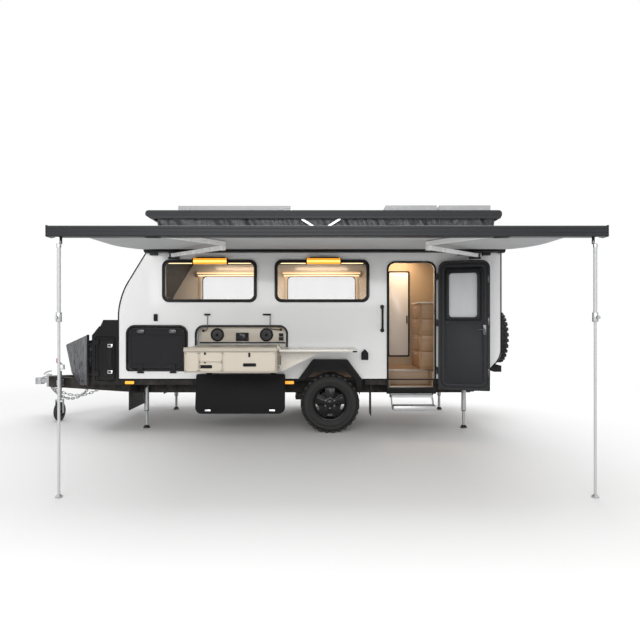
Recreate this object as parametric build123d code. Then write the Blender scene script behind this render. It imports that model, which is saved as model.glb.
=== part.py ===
"""Off-road camper trailer, parked and set up on its entry side.

Datum while modelling: X = 0 on the axle and +X to the rear, Y = 0 on the centre
line with the entry side at -Y, Z = 0 on the ground. Lengths are millimetres.
"""

import os
from math import asin, atan2, cos, degrees, radians, sin

from build123d import *

# Body shell
BODY_FRONT = -2690.0
BODY_REAR = 2175.0
BODY_HALF = 1100.0
BODY_BASE = 675.0
BODY_TOP = 2400.0
WALL = 40.0
FLOOR_T = 100.0
NOSE_BEND_Z = 1717.0
NOSE_TOP_X = -2272.0
NOSE_R = 800.0
DEPART_CUT = 278.0
DEPART_R = 250.0
TOP_RING_T = 40.0

# Openings in the entry side wall
WINDOW_W = 1200.0
WINDOW_H = 540.0
WINDOW_Z = 1928.0
WINDOW_R = 90.0
WINDOW_XS = (-1525.0, -102.0)
WINDOW_BORDER = 38.0
WINDOW_PROUD = 22.0
HATCH_Z = (810.0, 1347.0)
KITCHEN_SILL = 838.0
HATCH_DROP = 40.0
HATCH_R = 90.0
HATCH_LOW_R = 30.0
HATCH_BORDER = 25.0
FRONT_HATCH_X = (-2559.0, -1827.0)
KITCHEN_HATCH_X = (-1687.0, -557.0)
HATCH_GAP = 8.0
DOOR_X = (741.0, 1322.0)
DOOR_Z = (575.0, 2157.0)
DOOR_R = 90.0
DOOR_T = 38.0
DOOR_OPEN = 165.0
DOOR_LAP = (27.0, 14.0)
DOOR_LAP_Z = (15.0, 19.0)
DOOR_STAND = 11.0
FRAME_PROUD = 12.0
SILL_Z = 500.0

# Running gear
TYRE_R = 375.0
TYRE_W = 250.0
RIM_R = 213.0
WHEEL_INSET = 115.0
WHEEL_Y = BODY_HALF - WHEEL_INSET
TYRE_SIDES = 36
LUG_COUNT = 28
LUG_H = 14.0
SPOKES = 5
SPOKE_W = (64.0, 128.0)
SPOKE_T = 26.0
SPOKE_TILT = 9.0
HUB_R = 78.0
ARCH_TOP_HALF = 218.0
ARCH_TOP_Z = 940.0
ARCH_LOW_HALF = 408.0
ARCH_LOW_Z = 680.0
ARCH_BAND = 42.0
ARCH_BORDER = (76.0, 63.0)
ARCH_FACE = 30.0
ARCH_OPEN_TOP = 212.0
ARCH_OPEN_LOW = 310.0
ARCH_OPEN_Z = 785.0
ARCH_PROUD = 72.0
ARCH_TAIL_Z = 550.0
TUB_HALF = 432.0
TUB_IN_Y = WHEEL_Y - TYRE_W / 2 - 80.0
TUB_T = 12.0
TUB_TOP = 950.0
RAIL_INSET = 430.0
RAIL_Y = BODY_HALF - RAIL_INSET
RAIL_W = 60.0
RAIL_Z = (463.0, 613.0)
RAIL_REAR = 1890.0
ARM_PIVOT_X = -410.0
ARM_PIVOT_Z = 430.0
DRUM_R = 150.0
STUB_R = 34.0

# Drawbar
BAR_ROOT_X = -2560.0
BAR_APEX_X = -4080.0
BAR_APEX_Y = 42.0
HITCH_NOSE = -4305.0
HITCH_R = 25.3
HITCH_LOW = 498.0
HITCH_CUP_TOP = 542.0
JOCKEY_X = -3845.0
JOCKEY_Y = -232.0
JOCKEY_R = 132.0
JOCKEY_W = 78.0

# Front box and stone guard
BOX_FRONT = -3028.0
BOX_HALF = BODY_HALF - 20.0
BOX_Z = (613.0, 1437.0)
BOX_SHOULDER_Z = 1239.0
BOX_STEP = (-2934.0, 1357.0)
BOX_CREST = (-2883.0, 37.0)
GUARD_X = -3111.0
GUARD_HALF = BODY_HALF - 100.0
GUARD_APEX = (-3831.0, -3745.0)
GUARD_APEX_Y = 30.0

# Pop-top roof
ROOF_FRONT = -2346.0
ROOF_REAR = 2185.0
ROOF_HALF = BODY_HALF - 10.0
ROOF_Z = (2725.0, 2830.0)
SKIRT_Y = BODY_HALF - 65.0
LIFT_X = -115.0
LIFT_Z = 2421.0
LIFT_RISE = 300.0
LIFT_ANGLE = 32.0
PANEL_T = 62.0
PANEL_Z = 2878.0

# Awning
AWNING_L = 4500.0
AWNING_X = -70.0
CASE_Z = (2285.0, 2400.0)
CASE_D = 115.0
AWNING_OUT = 2260.0
AWNING_DROP = 3.4
SHOULDER_U = AWNING_L / 2 - 374.0
ELBOW_U = AWNING_L / 2 - 1207.0
ELBOW_V = 1265.0
WRIST_U = AWNING_L / 2 - 820.0
WRIST_SLIP = 18.0
SHOULDER_GAP = 35.0
SHOULDER_Z = 2281.0
RAIL_BACK = 35.0
LEAD_D = 90.0
LEAD_H = 90.0
LEAD_UP = 5.0
POLE_IN = 80.0
POLE_R = 15.0
POLE_DROP = 36.0
POLE_SPLIT = 1460.0
FABRIC_L = AWNING_L - 160.0
FABRIC_T = 3.0
FABRIC_SAG = 8.0

# Stabiliser legs, step and kitchen
LEG_X = (-2437.0, 1788.0)
LEG_Y = RAIL_Y + 75.0
LEG_PIVOT_Z = 560.0
LEG_R = 25.0
STEP_X = (778.0, 1298.0)
STEP_PIVOT_Y = -BODY_HALF + 48.0
STEP_PIVOT_Z = 470.0
KITCHEN_X = (-1647.0, -615.0)
KITCHEN_Y = (-BODY_HALF - 790.0, -BODY_HALF + 90.0)
KITCHEN_Z = (852.0, 1108.0)
TOP_T = 15.0
RUNNER_LIFT = 4.0
TABLE_X = (-588.0, 300.0)
TABLE_Y = (KITCHEN_Y[0] + 20.0, KITCHEN_Y[0] + 590.0)
TABLE_Z = (1082.0, 1100.0)
TABLE_PIVOT_X = -602.0
TABLE_PIVOT_Z = 1138.0
GUSSET_X = -596.0
GUSSET_Y = KITCHEN_Y[0] + 270.0
GUSSET_L = 440.0
GUSSET_H = 232.0

# Rear
BUMPER_X = (2092.0, 2181.0)
BUMPER_Z = (775.0, 855.0)
BUMPER_INSET = 25.0
TAIL_INSET = (340.0, 90.0)
SPARE_X = 2400.0
SPARE_Z = 1186.0
FIT = 0.3
PIN_R = 5.0
KNUCKLE_R = 9.0


def block(x, y, z):
    """Box given by its X, Y and Z ranges."""
    middle = [(a + b) / 2 for a, b in (x, y, z)]
    return Pos(*middle) * Box(*(abs(b - a) for a, b in (x, y, z)))


def group(*shapes):
    """One compound that holds every solid of the shapes."""
    return Compound([s for shape in shapes for s in shape.solids()])


def both(shape):
    """The shape and its mirror image across the centre line."""
    return group(shape, mirror(shape, about=Plane.XZ))


def plate_xz(points, radii, y):
    """Plate with an outline of (x, z) points, thick over the range y."""
    face = make_face(FilletPolyline(*points, radius=radii, close=True))
    solid = extrude(Plane.XZ * face, amount=abs(y[1] - y[0]))
    return Pos(0, max(y), 0) * solid


def plate_yz(points, radii, x):
    """Plate with an outline of (y, z) points, thick over the range x."""
    face = make_face(FilletPolyline(*points, radius=radii, close=True))
    return Pos(min(x), 0, 0) * extrude(Plane.YZ * face, amount=abs(x[1] - x[0]))


def panel_xz(x, z, y, top_r, low_r):
    """Upright rounded panel over the ranges x, z and y."""
    points = ((x[0], z[0]), (x[1], z[0]), (x[1], z[1]), (x[0], z[1]))
    return plate_xz(points, (low_r, low_r, top_r, top_r), y)


def rod(start, end, radius):
    """Round bar between two points."""
    a = Vector(*start)
    b = Vector(*end)
    plane = Plane(origin=a, z_dir=b - a)
    return plane * Cylinder(radius, (b - a).length, align=(Align.CENTER, Align.CENTER, Align.MIN))


def beam(start, end, width, height):
    """Square-cut bar between two points; height is measured in the upright plane."""
    a = Vector(*start)
    b = Vector(*end)
    along = b - a
    side = Vector(0, 0, 1).cross(along)
    side = Vector(0, 1, 0) if side.length < 1e-6 else side
    plane = Plane(origin=a, x_dir=side, z_dir=along)
    return plane * Box(width, height, along.length, align=(Align.CENTER, Align.CENTER, Align.MIN))


def grown(span, amount):
    """A range made larger at both ends."""
    return (span[0] - amount, span[1] + amount)


# Body shell
PROFILE = (
    (BODY_FRONT, BODY_BASE),
    (BODY_FRONT, NOSE_BEND_Z),
    (NOSE_TOP_X, BODY_TOP),
    (BODY_REAR, BODY_TOP),
    (BODY_REAR, BODY_BASE + DEPART_CUT),
    (BODY_REAR - DEPART_CUT, BODY_BASE),
)
PROFILE_R = (30, NOSE_R, 30, 30, DEPART_R, DEPART_R)
IN_Y = BODY_HALF - WALL
FLOOR_TOP = BODY_BASE + FLOOR_T
RING_Z = BODY_TOP - TOP_RING_T


def profile_face():
    """Side outline of the body in the X-Z plane."""
    return Plane.XZ * make_face(FilletPolyline(*PROFILE, radius=PROFILE_R, close=True))


def across(face, half):
    """Extrude a face of the X-Z plane to both sides of the centre line."""
    return Pos(0, half, 0) * extrude(face, amount=2 * half)


def window_cut(x, border, y):
    """Window-shaped prism at x, less a border on every edge."""
    w = WINDOW_W / 2 - border
    h = WINDOW_H / 2 - border
    r = WINDOW_R - border * 0.5
    return panel_xz((x - w, x + w), (WINDOW_Z - h, WINDOW_Z + h), y, r, r)


def arch_prism(low_half, top_half, top_z, y):
    """Arch-shaped prism: upright below the body edge and drawn in above it."""
    points = (
        (-low_half, BODY_BASE - 200),
        (-low_half, BODY_BASE),
        (-top_half, top_z),
        (top_half, top_z),
        (low_half, BODY_BASE),
        (low_half, BODY_BASE - 200),
    )
    return plate_xz(points, (0, 20, 40, 40, 20, 0), y)




def side_wall():
    """Plain side wall of the entry side with its windows and wheel arch cut."""
    wall = Pos(0, -IN_Y, 0) * extrude(profile_face(), amount=WALL)
    y = (-BODY_HALF - 50, -IN_Y + 50)
    for x in WINDOW_XS:
        wall -= window_cut(x, WINDOW_BORDER - 8, y)
    return wall - arch_prism(ARCH_LOW_HALF - ARCH_BAND, ARCH_TOP_HALF - 21, ARCH_TOP_Z - ARCH_BAND, y)


HATCHES = (
    (FRONT_HATCH_X, HATCH_Z),
    (KITCHEN_HATCH_X, (KITCHEN_SILL, HATCH_Z[1])),
)


def entry_wall():
    """Entry side wall: hatches and doorway cut as well."""
    wall = side_wall()
    y = (-BODY_HALF - 50, -IN_Y + 50)
    for x, z in HATCHES:
        wall -= panel_xz(x, z, y, HATCH_R, HATCH_LOW_R)
    return wall - panel_xz(DOOR_X, DOOR_Z, y, DOOR_R, 1)


def end_ring():
    """Ring of panels between the side walls, before it is split."""
    outer = profile_face()
    inner = offset(outer, amount=-WALL, kind=Kind.INTERSECTION)
    return across(outer - inner, IN_Y)


def front_wall():
    """Front panel, upright below and raked above."""
    reach = (BODY_FRONT - 5, NOSE_TOP_X + 120)
    return end_ring() & block(reach, (-BODY_HALF, BODY_HALF), (FLOOR_TOP, RING_Z))


def rear_wall():
    """Rear panel with the upper part of the departure bend."""
    reach = (BODY_REAR - 240, BODY_REAR + 5)
    return end_ring() & block(reach, (-BODY_HALF, BODY_HALF), (FLOOR_TOP, RING_Z))


WELL_X = (DOOR_X[0] + 20, DOOR_X[1] - 20)
WELL_Y = (-IN_Y, -IN_Y + 245.0)
WELL_Z = 560.0
WELL_T = 20.0


def floor_boards(tub_x, tub_y, well_x, well_y):
    """Five boards of the floor, split round the wheel tubs and the sunk step."""
    deck = across(profile_face(), IN_Y)
    front = BODY_FRONT - 5
    rear = BODY_REAR + 5
    boards = (
        {"x": (front, tub_x[0]), "y": (-IN_Y, IN_Y)},
        {"x": tub_x, "y": (-tub_y, tub_y)},
        {"x": (tub_x[1], rear), "y": (well_y, IN_Y)},
        {"x": (tub_x[1], well_x[0]), "y": (-IN_Y, well_y)},
        {"x": (well_x[1], rear), "y": (-IN_Y, well_y)},
    )
    return [deck & block(grown(b["x"], -FIT), grown(b["y"], -FIT), (BODY_BASE, FLOOR_TOP)) for b in boards]


def floor():
    """Floor boards, wheel tubs and the sunk entry step, each plate its own solid."""
    tub_x = grown((-TUB_HALF, TUB_HALF), TUB_T)
    tub_y = TUB_IN_Y - TUB_T
    well_x = grown(WELL_X, TUB_T)
    well_y = WELL_Y[1] + TUB_T
    pieces = floor_boards(tub_x, tub_y, well_x, well_y)
    wall_z = (BODY_BASE, TUB_TOP - FIT)
    for side in (-1, 1):
        outer = side * (IN_Y - FIT)
        pieces.append(block(tub_x, (side * tub_y, outer), (TUB_TOP, TUB_TOP + TUB_T)))
        pieces.append(block(tub_x, (side * tub_y, side * TUB_IN_Y), wall_z))
        for x in ((tub_x[0], -TUB_HALF), (TUB_HALF, tub_x[1])):
            pieces.append(block(x, (side * (TUB_IN_Y + FIT), outer), wall_z))
    riser_z = (WELL_Z + WELL_T + FIT, FLOOR_TOP)
    pieces.append(block(well_x, (WELL_Y[0], well_y), (WELL_Z, WELL_Z + WELL_T)))
    pieces.append(block(well_x, (WELL_Y[1], well_y), riser_z))
    for x in ((well_x[0], WELL_X[0]), (WELL_X[1], well_x[1])):
        pieces.append(block(x, (WELL_Y[0], WELL_Y[1] - FIT), riser_z))
    return group(*pieces)


def top_ring():
    """Frame round the pop-top opening, with the lift-bar pins."""
    ring = across(profile_face(), IN_Y) & block(
        (BODY_FRONT, BODY_REAR + 5), (-BODY_HALF, BODY_HALF), (RING_Z, BODY_TOP)
    )
    hole = BODY_HALF - 150
    ring -= block((NOSE_TOP_X + 170, BODY_REAR - 130), (-hole, hole), (RING_Z - 5, BODY_TOP + 5))
    for side in (-1, 1):
        for bar, y in LIFT_ROWS:
            x = LIFT_X - bar * LIFT_SPAN / 2
            post = block((x - 14, x + 14), (side * (y - 9), side * (y - 4)), (BODY_TOP - 2, LIFT_Z + 12))
            pin = rod((x, side * (y - 6), LIFT_Z), (x, side * (y + 3), LIFT_Z), PIN_R)
            ring += post + pin
    return ring


LIFT_L = LIFT_RISE / sin(radians(LIFT_ANGLE))
LIFT_SPAN = LIFT_L * cos(radians(LIFT_ANGLE))
LIFT_ROWS = ((1, BODY_HALF - 36), (-1, BODY_HALF - 51))


def lift_bars(bar, y):
    """Pair of lift bars, near and far, on the pins at one end of the scissor."""
    foot = LIFT_X - bar * LIFT_SPAN / 2
    head = LIFT_X + bar * LIFT_SPAN / 2
    shape = beam((foot, y, LIFT_Z), (head, y, LIFT_Z + LIFT_RISE), 5, 26)
    for x, z in ((foot, LIFT_Z), (head, LIFT_Z + LIFT_RISE)):
        shape += rod((x, y - 2.5, z), (x, y + 2.5, z), 13)
    shape -= rod((foot, y - 20, LIFT_Z), (foot, y + 20, LIFT_Z), PIN_R + FIT)
    return both(shape)


def window_frames():
    """Frames of the four side windows."""
    frames = []
    for x in WINDOW_XS:
        y = (-BODY_HALF - WINDOW_PROUD, -BODY_HALF)
        ring = window_cut(x, 0, y)
        ring -= window_cut(x, WINDOW_BORDER, (y[0] - 1, y[1] + 1))
        frames.append(both(ring))
    return group(*frames)


def window_glass():
    """Panes of the four side windows, one fit inside the frames."""
    y = (-BODY_HALF - 14, -BODY_HALF - 6)
    return group(*(both(window_cut(x, WINDOW_BORDER + FIT, y)) for x in WINDOW_XS))


def hinge_pins_x(xs, y, z, length):
    """Pins along X that carry knuckles, each with two lugs back to the wall."""
    pins = []
    for x in xs:
        pin = rod((x - length / 2 - 8, y, z), (x + length / 2 + 8, y, z), PIN_R)
        for end in (-1, 1):
            at = x + end * (length / 2 + 5)
            pin += block((at - 3, at + 3), (y - 6, -BODY_HALF), (z - 6, z + 6))
        pins.append(pin)
    return pins


HATCH_AXIS_Y = -BODY_HALF - 16
HATCH_AXIS_Z = HATCH_Z[0] - HATCH_DROP
DOOR_OUT_Y = -BODY_HALF - FRAME_PROUD - DOOR_STAND - DOOR_T
DOOR_AXIS = (DOOR_X[1] + DOOR_LAP[1] + 14, DOOR_OUT_Y + DOOR_T / 2)
DOOR_HINGE_ZS = (800.0, 1400.0, 1980.0)
HINGE_L = 70.0
HANDLE_X = DOOR_X[0] - 80
HANDLE_Y = -BODY_HALF - 50
HANDLE_Z = (1290.0, 1616.0)
HANDLE_R = 13.0
SILL_BACK = 50.0
SILL_STEP = 20.0


def grab_handle():
    """Grab handle beside the door: a bar saddled on two posts."""
    bar = rod((HANDLE_X, HANDLE_Y, HANDLE_Z[0]), (HANDLE_X, HANDLE_Y, HANDLE_Z[1]), HANDLE_R)
    room = rod((HANDLE_X, HANDLE_Y, HANDLE_Z[0] - 9), (HANDLE_X, HANDLE_Y, HANDLE_Z[1] + 9), HANDLE_R + FIT)
    posts = []
    for z in grown(HANDLE_Z, -HANDLE_R):
        posts.append(rod((HANDLE_X, HANDLE_Y, z), (HANDLE_X, -BODY_HALF, z), HANDLE_R - 1) - room)
    return group(bar, *posts)


def door_frame():
    """Black doorway frame with its sill and the hinge pins of the door."""
    out = (-BODY_HALF - FRAME_PROUD, -BODY_HALF)
    width = grown(DOOR_X, 22)
    frame = panel_xz(width, (SILL_Z, DOOR_Z[1] + 22), out, DOOR_R + 15, 8)
    frame += block(width, (out[0], -IN_Y), (SILL_Z, WELL_Z))
    frame += block(width, (-IN_Y - 1, -IN_Y + SILL_BACK), (SILL_Z + SILL_STEP, WELL_Z))
    frame -= panel_xz(DOOR_X, DOOR_Z, (out[0] - 48, out[1] + 20), DOOR_R, 1)
    x, y = DOOR_AXIS
    for z in DOOR_HINGE_ZS:
        frame += rod((x, y, z - HINGE_L / 2 - 9), (x, y, z + HINGE_L / 2 + 9), PIN_R)
        for end in (-1, 1):
            at = z + end * (HINGE_L / 2 + 5)
            frame += block((x - 6, x + 6), (y - 6, -BODY_HALF), (at - 3, at + 3))
    return frame


def wall_fittings():
    """Black frames of hatches and doorway, hinge pins, grab handle and door catch."""
    out = (-BODY_HALF - FRAME_PROUD, -BODY_HALF)
    cut = (-BODY_HALF - 60, -BODY_HALF + 20)
    pieces = [door_frame(), grab_handle()]
    for x, z in HATCHES:
        ring = panel_xz(grown(x, HATCH_BORDER), grown(z, HATCH_BORDER), out, HATCH_R + 20, 40)
        ring -= panel_xz(x, z, cut, HATCH_R, HATCH_LOW_R)
        pieces.append(ring)
        pieces.extend(hinge_pins_x(grown(x, -160), HATCH_AXIS_Y, z[0] - HATCH_DROP, HINGE_L))
    catch = ((395, 930), (484, 930), (484, 1020), (440, 1068), (395, 1020))
    pieces.append(plate_xz(catch, 8, (-BODY_HALF - 24, -BODY_HALF)))
    pieces.append(panel_xz((-2232, -2184), (1420, 1510), (-BODY_HALF - 18, -BODY_HALF), 8, 8))
    return group(*pieces)


def hatch_leaf(x, z):
    """Closed hatch door with knuckles on the hinge pins below it."""
    gap = HATCH_GAP
    face = -BODY_HALF - FRAME_PROUD
    low = z[0] - HATCH_DROP
    leaf = panel_xz(grown(x, -gap), grown(z, -gap), (face, -IN_Y - 2), HATCH_R - gap, 24)
    for at in grown(x, -160):
        span = (at - HINGE_L / 2 + 1, at + HINGE_L / 2 - 1)
        leaf += rod((span[0], HATCH_AXIS_Y, low), (span[1], HATCH_AXIS_Y, low), KNUCKLE_R)
        leaf += block(span, (HATCH_AXIS_Y - KNUCKLE_R, face), (low, z[0] + 70))
        leaf -= rod((at - 99, HATCH_AXIS_Y, low), (at + 99, HATCH_AXIS_Y, low), PIN_R + FIT)
    for at in grown(x, -165):
        leaf += panel_xz((at - 38, at + 38), (z[1] - 84, z[1] - 29), (face - 14, face), 10, 10)
    return leaf


def kitchen_hatch():
    """Kitchen hatch door, let down below its opening."""
    axis = Axis((0, HATCH_AXIS_Y, KITCHEN_SILL - HATCH_DROP), (1, 0, 0))
    return hatch_leaf(*HATCHES[1]).rotate(axis, 172)


DOOR_PANE = (0.21, 0.804, 1466.0, 2021.0)


def door_pane(inset, y):
    """Prism of the door window, less an inset."""
    w = DOOR_X[1] - DOOR_X[0]
    x = (DOOR_X[0] + DOOR_PANE[0] * w, DOOR_X[0] + DOOR_PANE[1] * w)
    return panel_xz(grown(x, -inset), grown(DOOR_PANE[2:], -inset), y, 50 - inset, 50 - inset)


def swung(shape):
    """Turn a closed door piece to the open pose."""
    return shape.rotate(Axis((DOOR_AXIS[0], DOOR_AXIS[1], 0), (0, 0, 1)), DOOR_OPEN)


def entry_door():
    """Entry door leaf that laps its frame, with window opening and knuckles, standing open."""
    leaf_x = (DOOR_X[0] - DOOR_LAP[0], DOOR_X[1] + DOOR_LAP[1])
    leaf_z = (DOOR_Z[0] - DOOR_LAP_Z[0], DOOR_Z[1] + DOOR_LAP_Z[1])
    leaf = panel_xz(leaf_x, leaf_z, (DOOR_OUT_Y, DOOR_OUT_Y + DOOR_T), DOOR_R + 12, 14)
    leaf -= door_pane(0, (DOOR_OUT_Y - 9, DOOR_OUT_Y + DOOR_T + 9))
    x, y = DOOR_AXIS
    for at in DOOR_HINGE_ZS:
        span = (at - HINGE_L / 2 + 1, at + HINGE_L / 2 - 1)
        leaf += rod((x, y, span[0]), (x, y, span[1]), KNUCKLE_R)
        leaf += block((leaf_x[1] - 20, x), (y - KNUCKLE_R, y + KNUCKLE_R), span)
        leaf -= rod((x, y, span[0] - 9), (x, y, span[1] + 9), PIN_R + FIT)
    lock = panel_xz((leaf_x[0] + 40, leaf_x[0] + 120), (1230, 1400), (DOOR_OUT_Y - 14, DOOR_OUT_Y), 10, 10)
    return swung(leaf + lock)


def entry_glass():
    """Pane of the entry door."""
    return swung(door_pane(FIT, (DOOR_OUT_Y + 12, DOOR_OUT_Y + 20)))


# Chassis and drawbar
OUTRIGGER_XS = (-2650.0, -1500.0, -620.0, 560.0, 1840.0)
OUTRIGGER_Z = (RAIL_Z[1], BODY_BASE)
SKIRT_IN = BODY_HALF - 60.0


def chassis():
    """Main rails, cross beams, skirt beams and drawbar, welded at butt joints."""
    pieces = []
    rails = block((BAR_ROOT_X, RAIL_REAR), (RAIL_Y - RAIL_W / 2, RAIL_Y + RAIL_W / 2), RAIL_Z)
    pieces.append(both(rails))
    for x in OUTRIGGER_XS:
        pieces.append(block((x - 30, x + 30), grown((-SKIRT_IN, SKIRT_IN), -FIT), grown(OUTRIGGER_Z, -FIT)))
    for x in (-2100.0, -700.0, 700.0, 1750.0):
        inner = RAIL_Y - RAIL_W / 2 - FIT
        pieces.append(block((x - 25, x + 25), (-inner, inner), (RAIL_Z[0] + 30, RAIL_Z[1] - 20)))
    for x in ((BODY_FRONT, -470.0), (450.0, DOOR_X[0] - 30), (DOOR_X[1] + 30, BODY_REAR - DEPART_CUT)):
        pieces.append(both(block(x, (-BODY_HALF, -SKIRT_IN), OUTRIGGER_Z)))
    pieces.append(both(drawbar_beam()))
    return group(*pieces)


def drawbar_beam():
    """Far-side beam of the drawbar."""
    mid = sum(RAIL_Z) / 2
    start = (BAR_ROOT_X - FIT, RAIL_Y, mid)
    arm = beam(start, (BAR_APEX_X, BAR_APEX_Y, mid), RAIL_W, RAIL_Z[1] - RAIL_Z[0])
    return arm & block((BAR_APEX_X, BAR_ROOT_X - FIT), (FIT, 2000), (0, 2000))


def hitch():
    """Coupling head with a ball cup that opens downwards, on a shank plate."""
    zc = sum(RAIL_Z) / 2
    head = HITCH_NOSE + 62
    body = block((head, BAR_APEX_X - FIT), (-45, 45), (zc - 20, zc + 40))
    body += rod((head, 0, HITCH_LOW), (head, 0, zc + 50), 62)
    body += block((BAR_APEX_X - 30 - FIT, BAR_APEX_X - FIT), (-75, 75), (RAIL_Z[0], RAIL_Z[1]))
    cup = rod((head, 0, HITCH_LOW - 40), (head, 0, HITCH_CUP_TOP), HITCH_R)
    cup += Pos(head, 0, HITCH_CUP_TOP) * Sphere(HITCH_R)
    lever = beam((head + 40, 0, zc + 50), (head + 170, 0, zc + 95), 34, 22)
    return body - cup + lever


JOCKEY_FORK_Z = 300.0
JOCKEY_TOP = 705.0
CRANK_Z = 735.0
CRANK_L = 72.0


def jockey_post():
    """Outer tube of the jockey wheel with clamp, winding handle and knob."""
    x, y = JOCKEY_X, JOCKEY_Y
    tube = rod((x, y, JOCKEY_FORK_Z + 20), (x, y, JOCKEY_TOP), 30)
    tube -= rod((x, y, JOCKEY_FORK_Z - 20), (x, y, JOCKEY_TOP - 40), 25)
    clamp = block((x - 40, x + 40), (y + 26, -125), (490, 590))
    clamp -= mirror(drawbar_beam(), about=Plane.XZ)
    clamp += Pos(x, y, 540) * (Cylinder(40, 70) - Cylinder(28, 90))
    crank = rod((x, y, JOCKEY_TOP - 2), (x, y, CRANK_Z + 5), 12)
    crank += beam((x - 12, y, CRANK_Z), (x + CRANK_L, y, CRANK_Z), 22, 10)
    crank += rod((x + CRANK_L - 14, y, CRANK_Z), (x + CRANK_L - 14, y, CRANK_Z + 62), 13)
    return tube + clamp + crank


def jockey_fork():
    """Inner stem and fork of the jockey wheel."""
    stem = rod((JOCKEY_X, JOCKEY_Y, JOCKEY_FORK_Z - 2), (JOCKEY_X, JOCKEY_Y, 640), 24.7)
    half = JOCKEY_W / 2 + 8
    fork_y = (JOCKEY_Y - 30, JOCKEY_Y + 30)
    fork = block((JOCKEY_X - half - 6, JOCKEY_X + half + 6), fork_y, (284, JOCKEY_FORK_Z))
    for end in (-1, 1):
        x = JOCKEY_X + end * (half + 3)
        fork += block((x - 3, x + 3), (JOCKEY_Y - 26, JOCKEY_Y + 26), (JOCKEY_R - 24, 290))
    axle = rod((JOCKEY_X - half - 8, JOCKEY_Y, JOCKEY_R), (JOCKEY_X + half + 8, JOCKEY_Y, JOCKEY_R), 9)
    return stem + fork + axle


def sided(radius, at, sides, x_dir, axis):
    """Many-sided flat face square to an axis, at a distance along it."""
    plane = Plane(Vector(*axis) * at, x_dir=x_dir, z_dir=axis)
    return plane * RegularPolygon(radius, sides)


JOCKEY_SIDES = 24
JOCKEY_OUTLINE = ((0.5, 0.76), (0.38, 0.93), (0.23, 1.0))


def jockey_wheel():
    """Solid jockey wheel with chamfered shoulders and its axle along X."""
    shoulder = [(-share * JOCKEY_W, part * JOCKEY_R) for share, part in JOCKEY_OUTLINE]
    stations = shoulder + [(-x, r) for x, r in reversed(shoulder)]
    faces = [sided(r, x, JOCKEY_SIDES, (0, 0, 1), (1, 0, 0)) for x, r in stations]
    wheel = loft(faces, ruled=True)
    for end in (-1, 1):
        dish = sided(75, 0, JOCKEY_SIDES, (0, 0, 1), (1, 0, 0))
        wheel -= Pos(end * JOCKEY_W / 2, 0, 0) * extrude(dish, amount=15, both=True)
    wheel += Rot(0, 90, 0) * Cylinder(20, JOCKEY_W + 8)
    wheel -= Rot(0, 90, 0) * Cylinder(9 + FIT, JOCKEY_W + 40)
    return Pos(JOCKEY_X, JOCKEY_Y, JOCKEY_R) * wheel


def bar_half_y(x):
    """Centre distance of a drawbar beam at a station x."""
    share = (x - BAR_ROOT_X) / (BAR_APEX_X - BAR_ROOT_X)
    return RAIL_Y + share * (BAR_APEX_Y - RAIL_Y)


BOX_PROFILE = (
    (BOX_FRONT, BOX_Z[0]),
    (BODY_FRONT, BOX_Z[0]),
    (BODY_FRONT, BOX_Z[1]),
    (BOX_CREST[0], BOX_Z[1]),
    (BOX_CREST[0] - BOX_CREST[1], BOX_STEP[1]),
    BOX_STEP,
    (BOX_FRONT, BOX_SHOULDER_Z),
)
BOX_DOOR_X = (BOX_FRONT + 45, BODY_FRONT - 35)
BOX_DOOR_Z = (660.0, 1225.0)
BOX_AXIS = (BOX_DOOR_X[0] - 4, -BOX_HALF - 14)
BOX_HINGE_ZS = (760.0, 1150.0)


def toolbox():
    """Hollow front box with a stepped slope and a side opening."""
    shell = plate_xz(BOX_PROFILE, (12, 3, 3, 8, 2, 8, 12), (-BOX_HALF, BOX_HALF))
    inner = offset(make_face(Polyline(*BOX_PROFILE, close=True)), amount=-12, kind=Kind.INTERSECTION)
    shell -= Pos(0, BOX_HALF - 12, 0) * extrude(Plane.XZ * inner, amount=2 * BOX_HALF - 24)
    shell -= panel_xz(BOX_DOOR_X, BOX_DOOR_Z, (-BOX_HALF - 9, -BOX_HALF + 40), 20, 20)
    x, y = BOX_AXIS
    for z in BOX_HINGE_ZS:
        shell += rod((x, y, z - HINGE_L / 2 - 9), (x, y, z + HINGE_L / 2 + 9), PIN_R)
        for end in (-1, 1):
            at = z + end * (HINGE_L / 2 + 5)
            shell += block((x - 6, x + 6), (y - 6, -BOX_HALF), (at - 3, at + 3))
    return shell


def toolbox_door():
    """Side door of the front box, with knuckles and two latches."""
    out = -BOX_HALF
    leaf = panel_xz(grown(BOX_DOOR_X, -6), grown(BOX_DOOR_Z, -6), (out, out + 18), 16, 16)
    x, y = BOX_AXIS
    for at in BOX_HINGE_ZS:
        span = (at - HINGE_L / 2 + 1, at + HINGE_L / 2 - 1)
        leaf += rod((x, y, span[0]), (x, y, span[1]), KNUCKLE_R)
        leaf += block((x, BOX_DOOR_X[0] + 50), (y - KNUCKLE_R, out), span)
        leaf -= rod((x, y, span[0] - 9), (x, y, span[1] + 9), PIN_R + FIT)
    for z in (700, 1158):
        leaf += panel_xz((BOX_DOOR_X[1] - 92, BOX_DOOR_X[1] - 22), (z - 26, z + 26), (out - 12, out), 8, 8)
    return leaf


GUARD_TOP = (1234.0, 1067.0)
GUARD_LOW = (592.0, 652.0)
GUARD_STAYS = (737.0, 933.0, 1120.0)
GUARD_TUBE_R = 12.0


def guard_corner(name, lift):
    """Corner of the stone guard on the far side, lifted along Z."""
    corners = {
        "foot": (GUARD_X, GUARD_HALF, GUARD_LOW[0]),
        "head": (GUARD_X, GUARD_HALF, GUARD_TOP[0]),
        "nose_low": (GUARD_APEX[1], GUARD_APEX_Y, GUARD_LOW[1]),
        "nose_top": (GUARD_APEX[0], GUARD_APEX_Y, GUARD_TOP[1]),
    }
    x, y, z = corners[name]
    return (x, y, z + lift)


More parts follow.
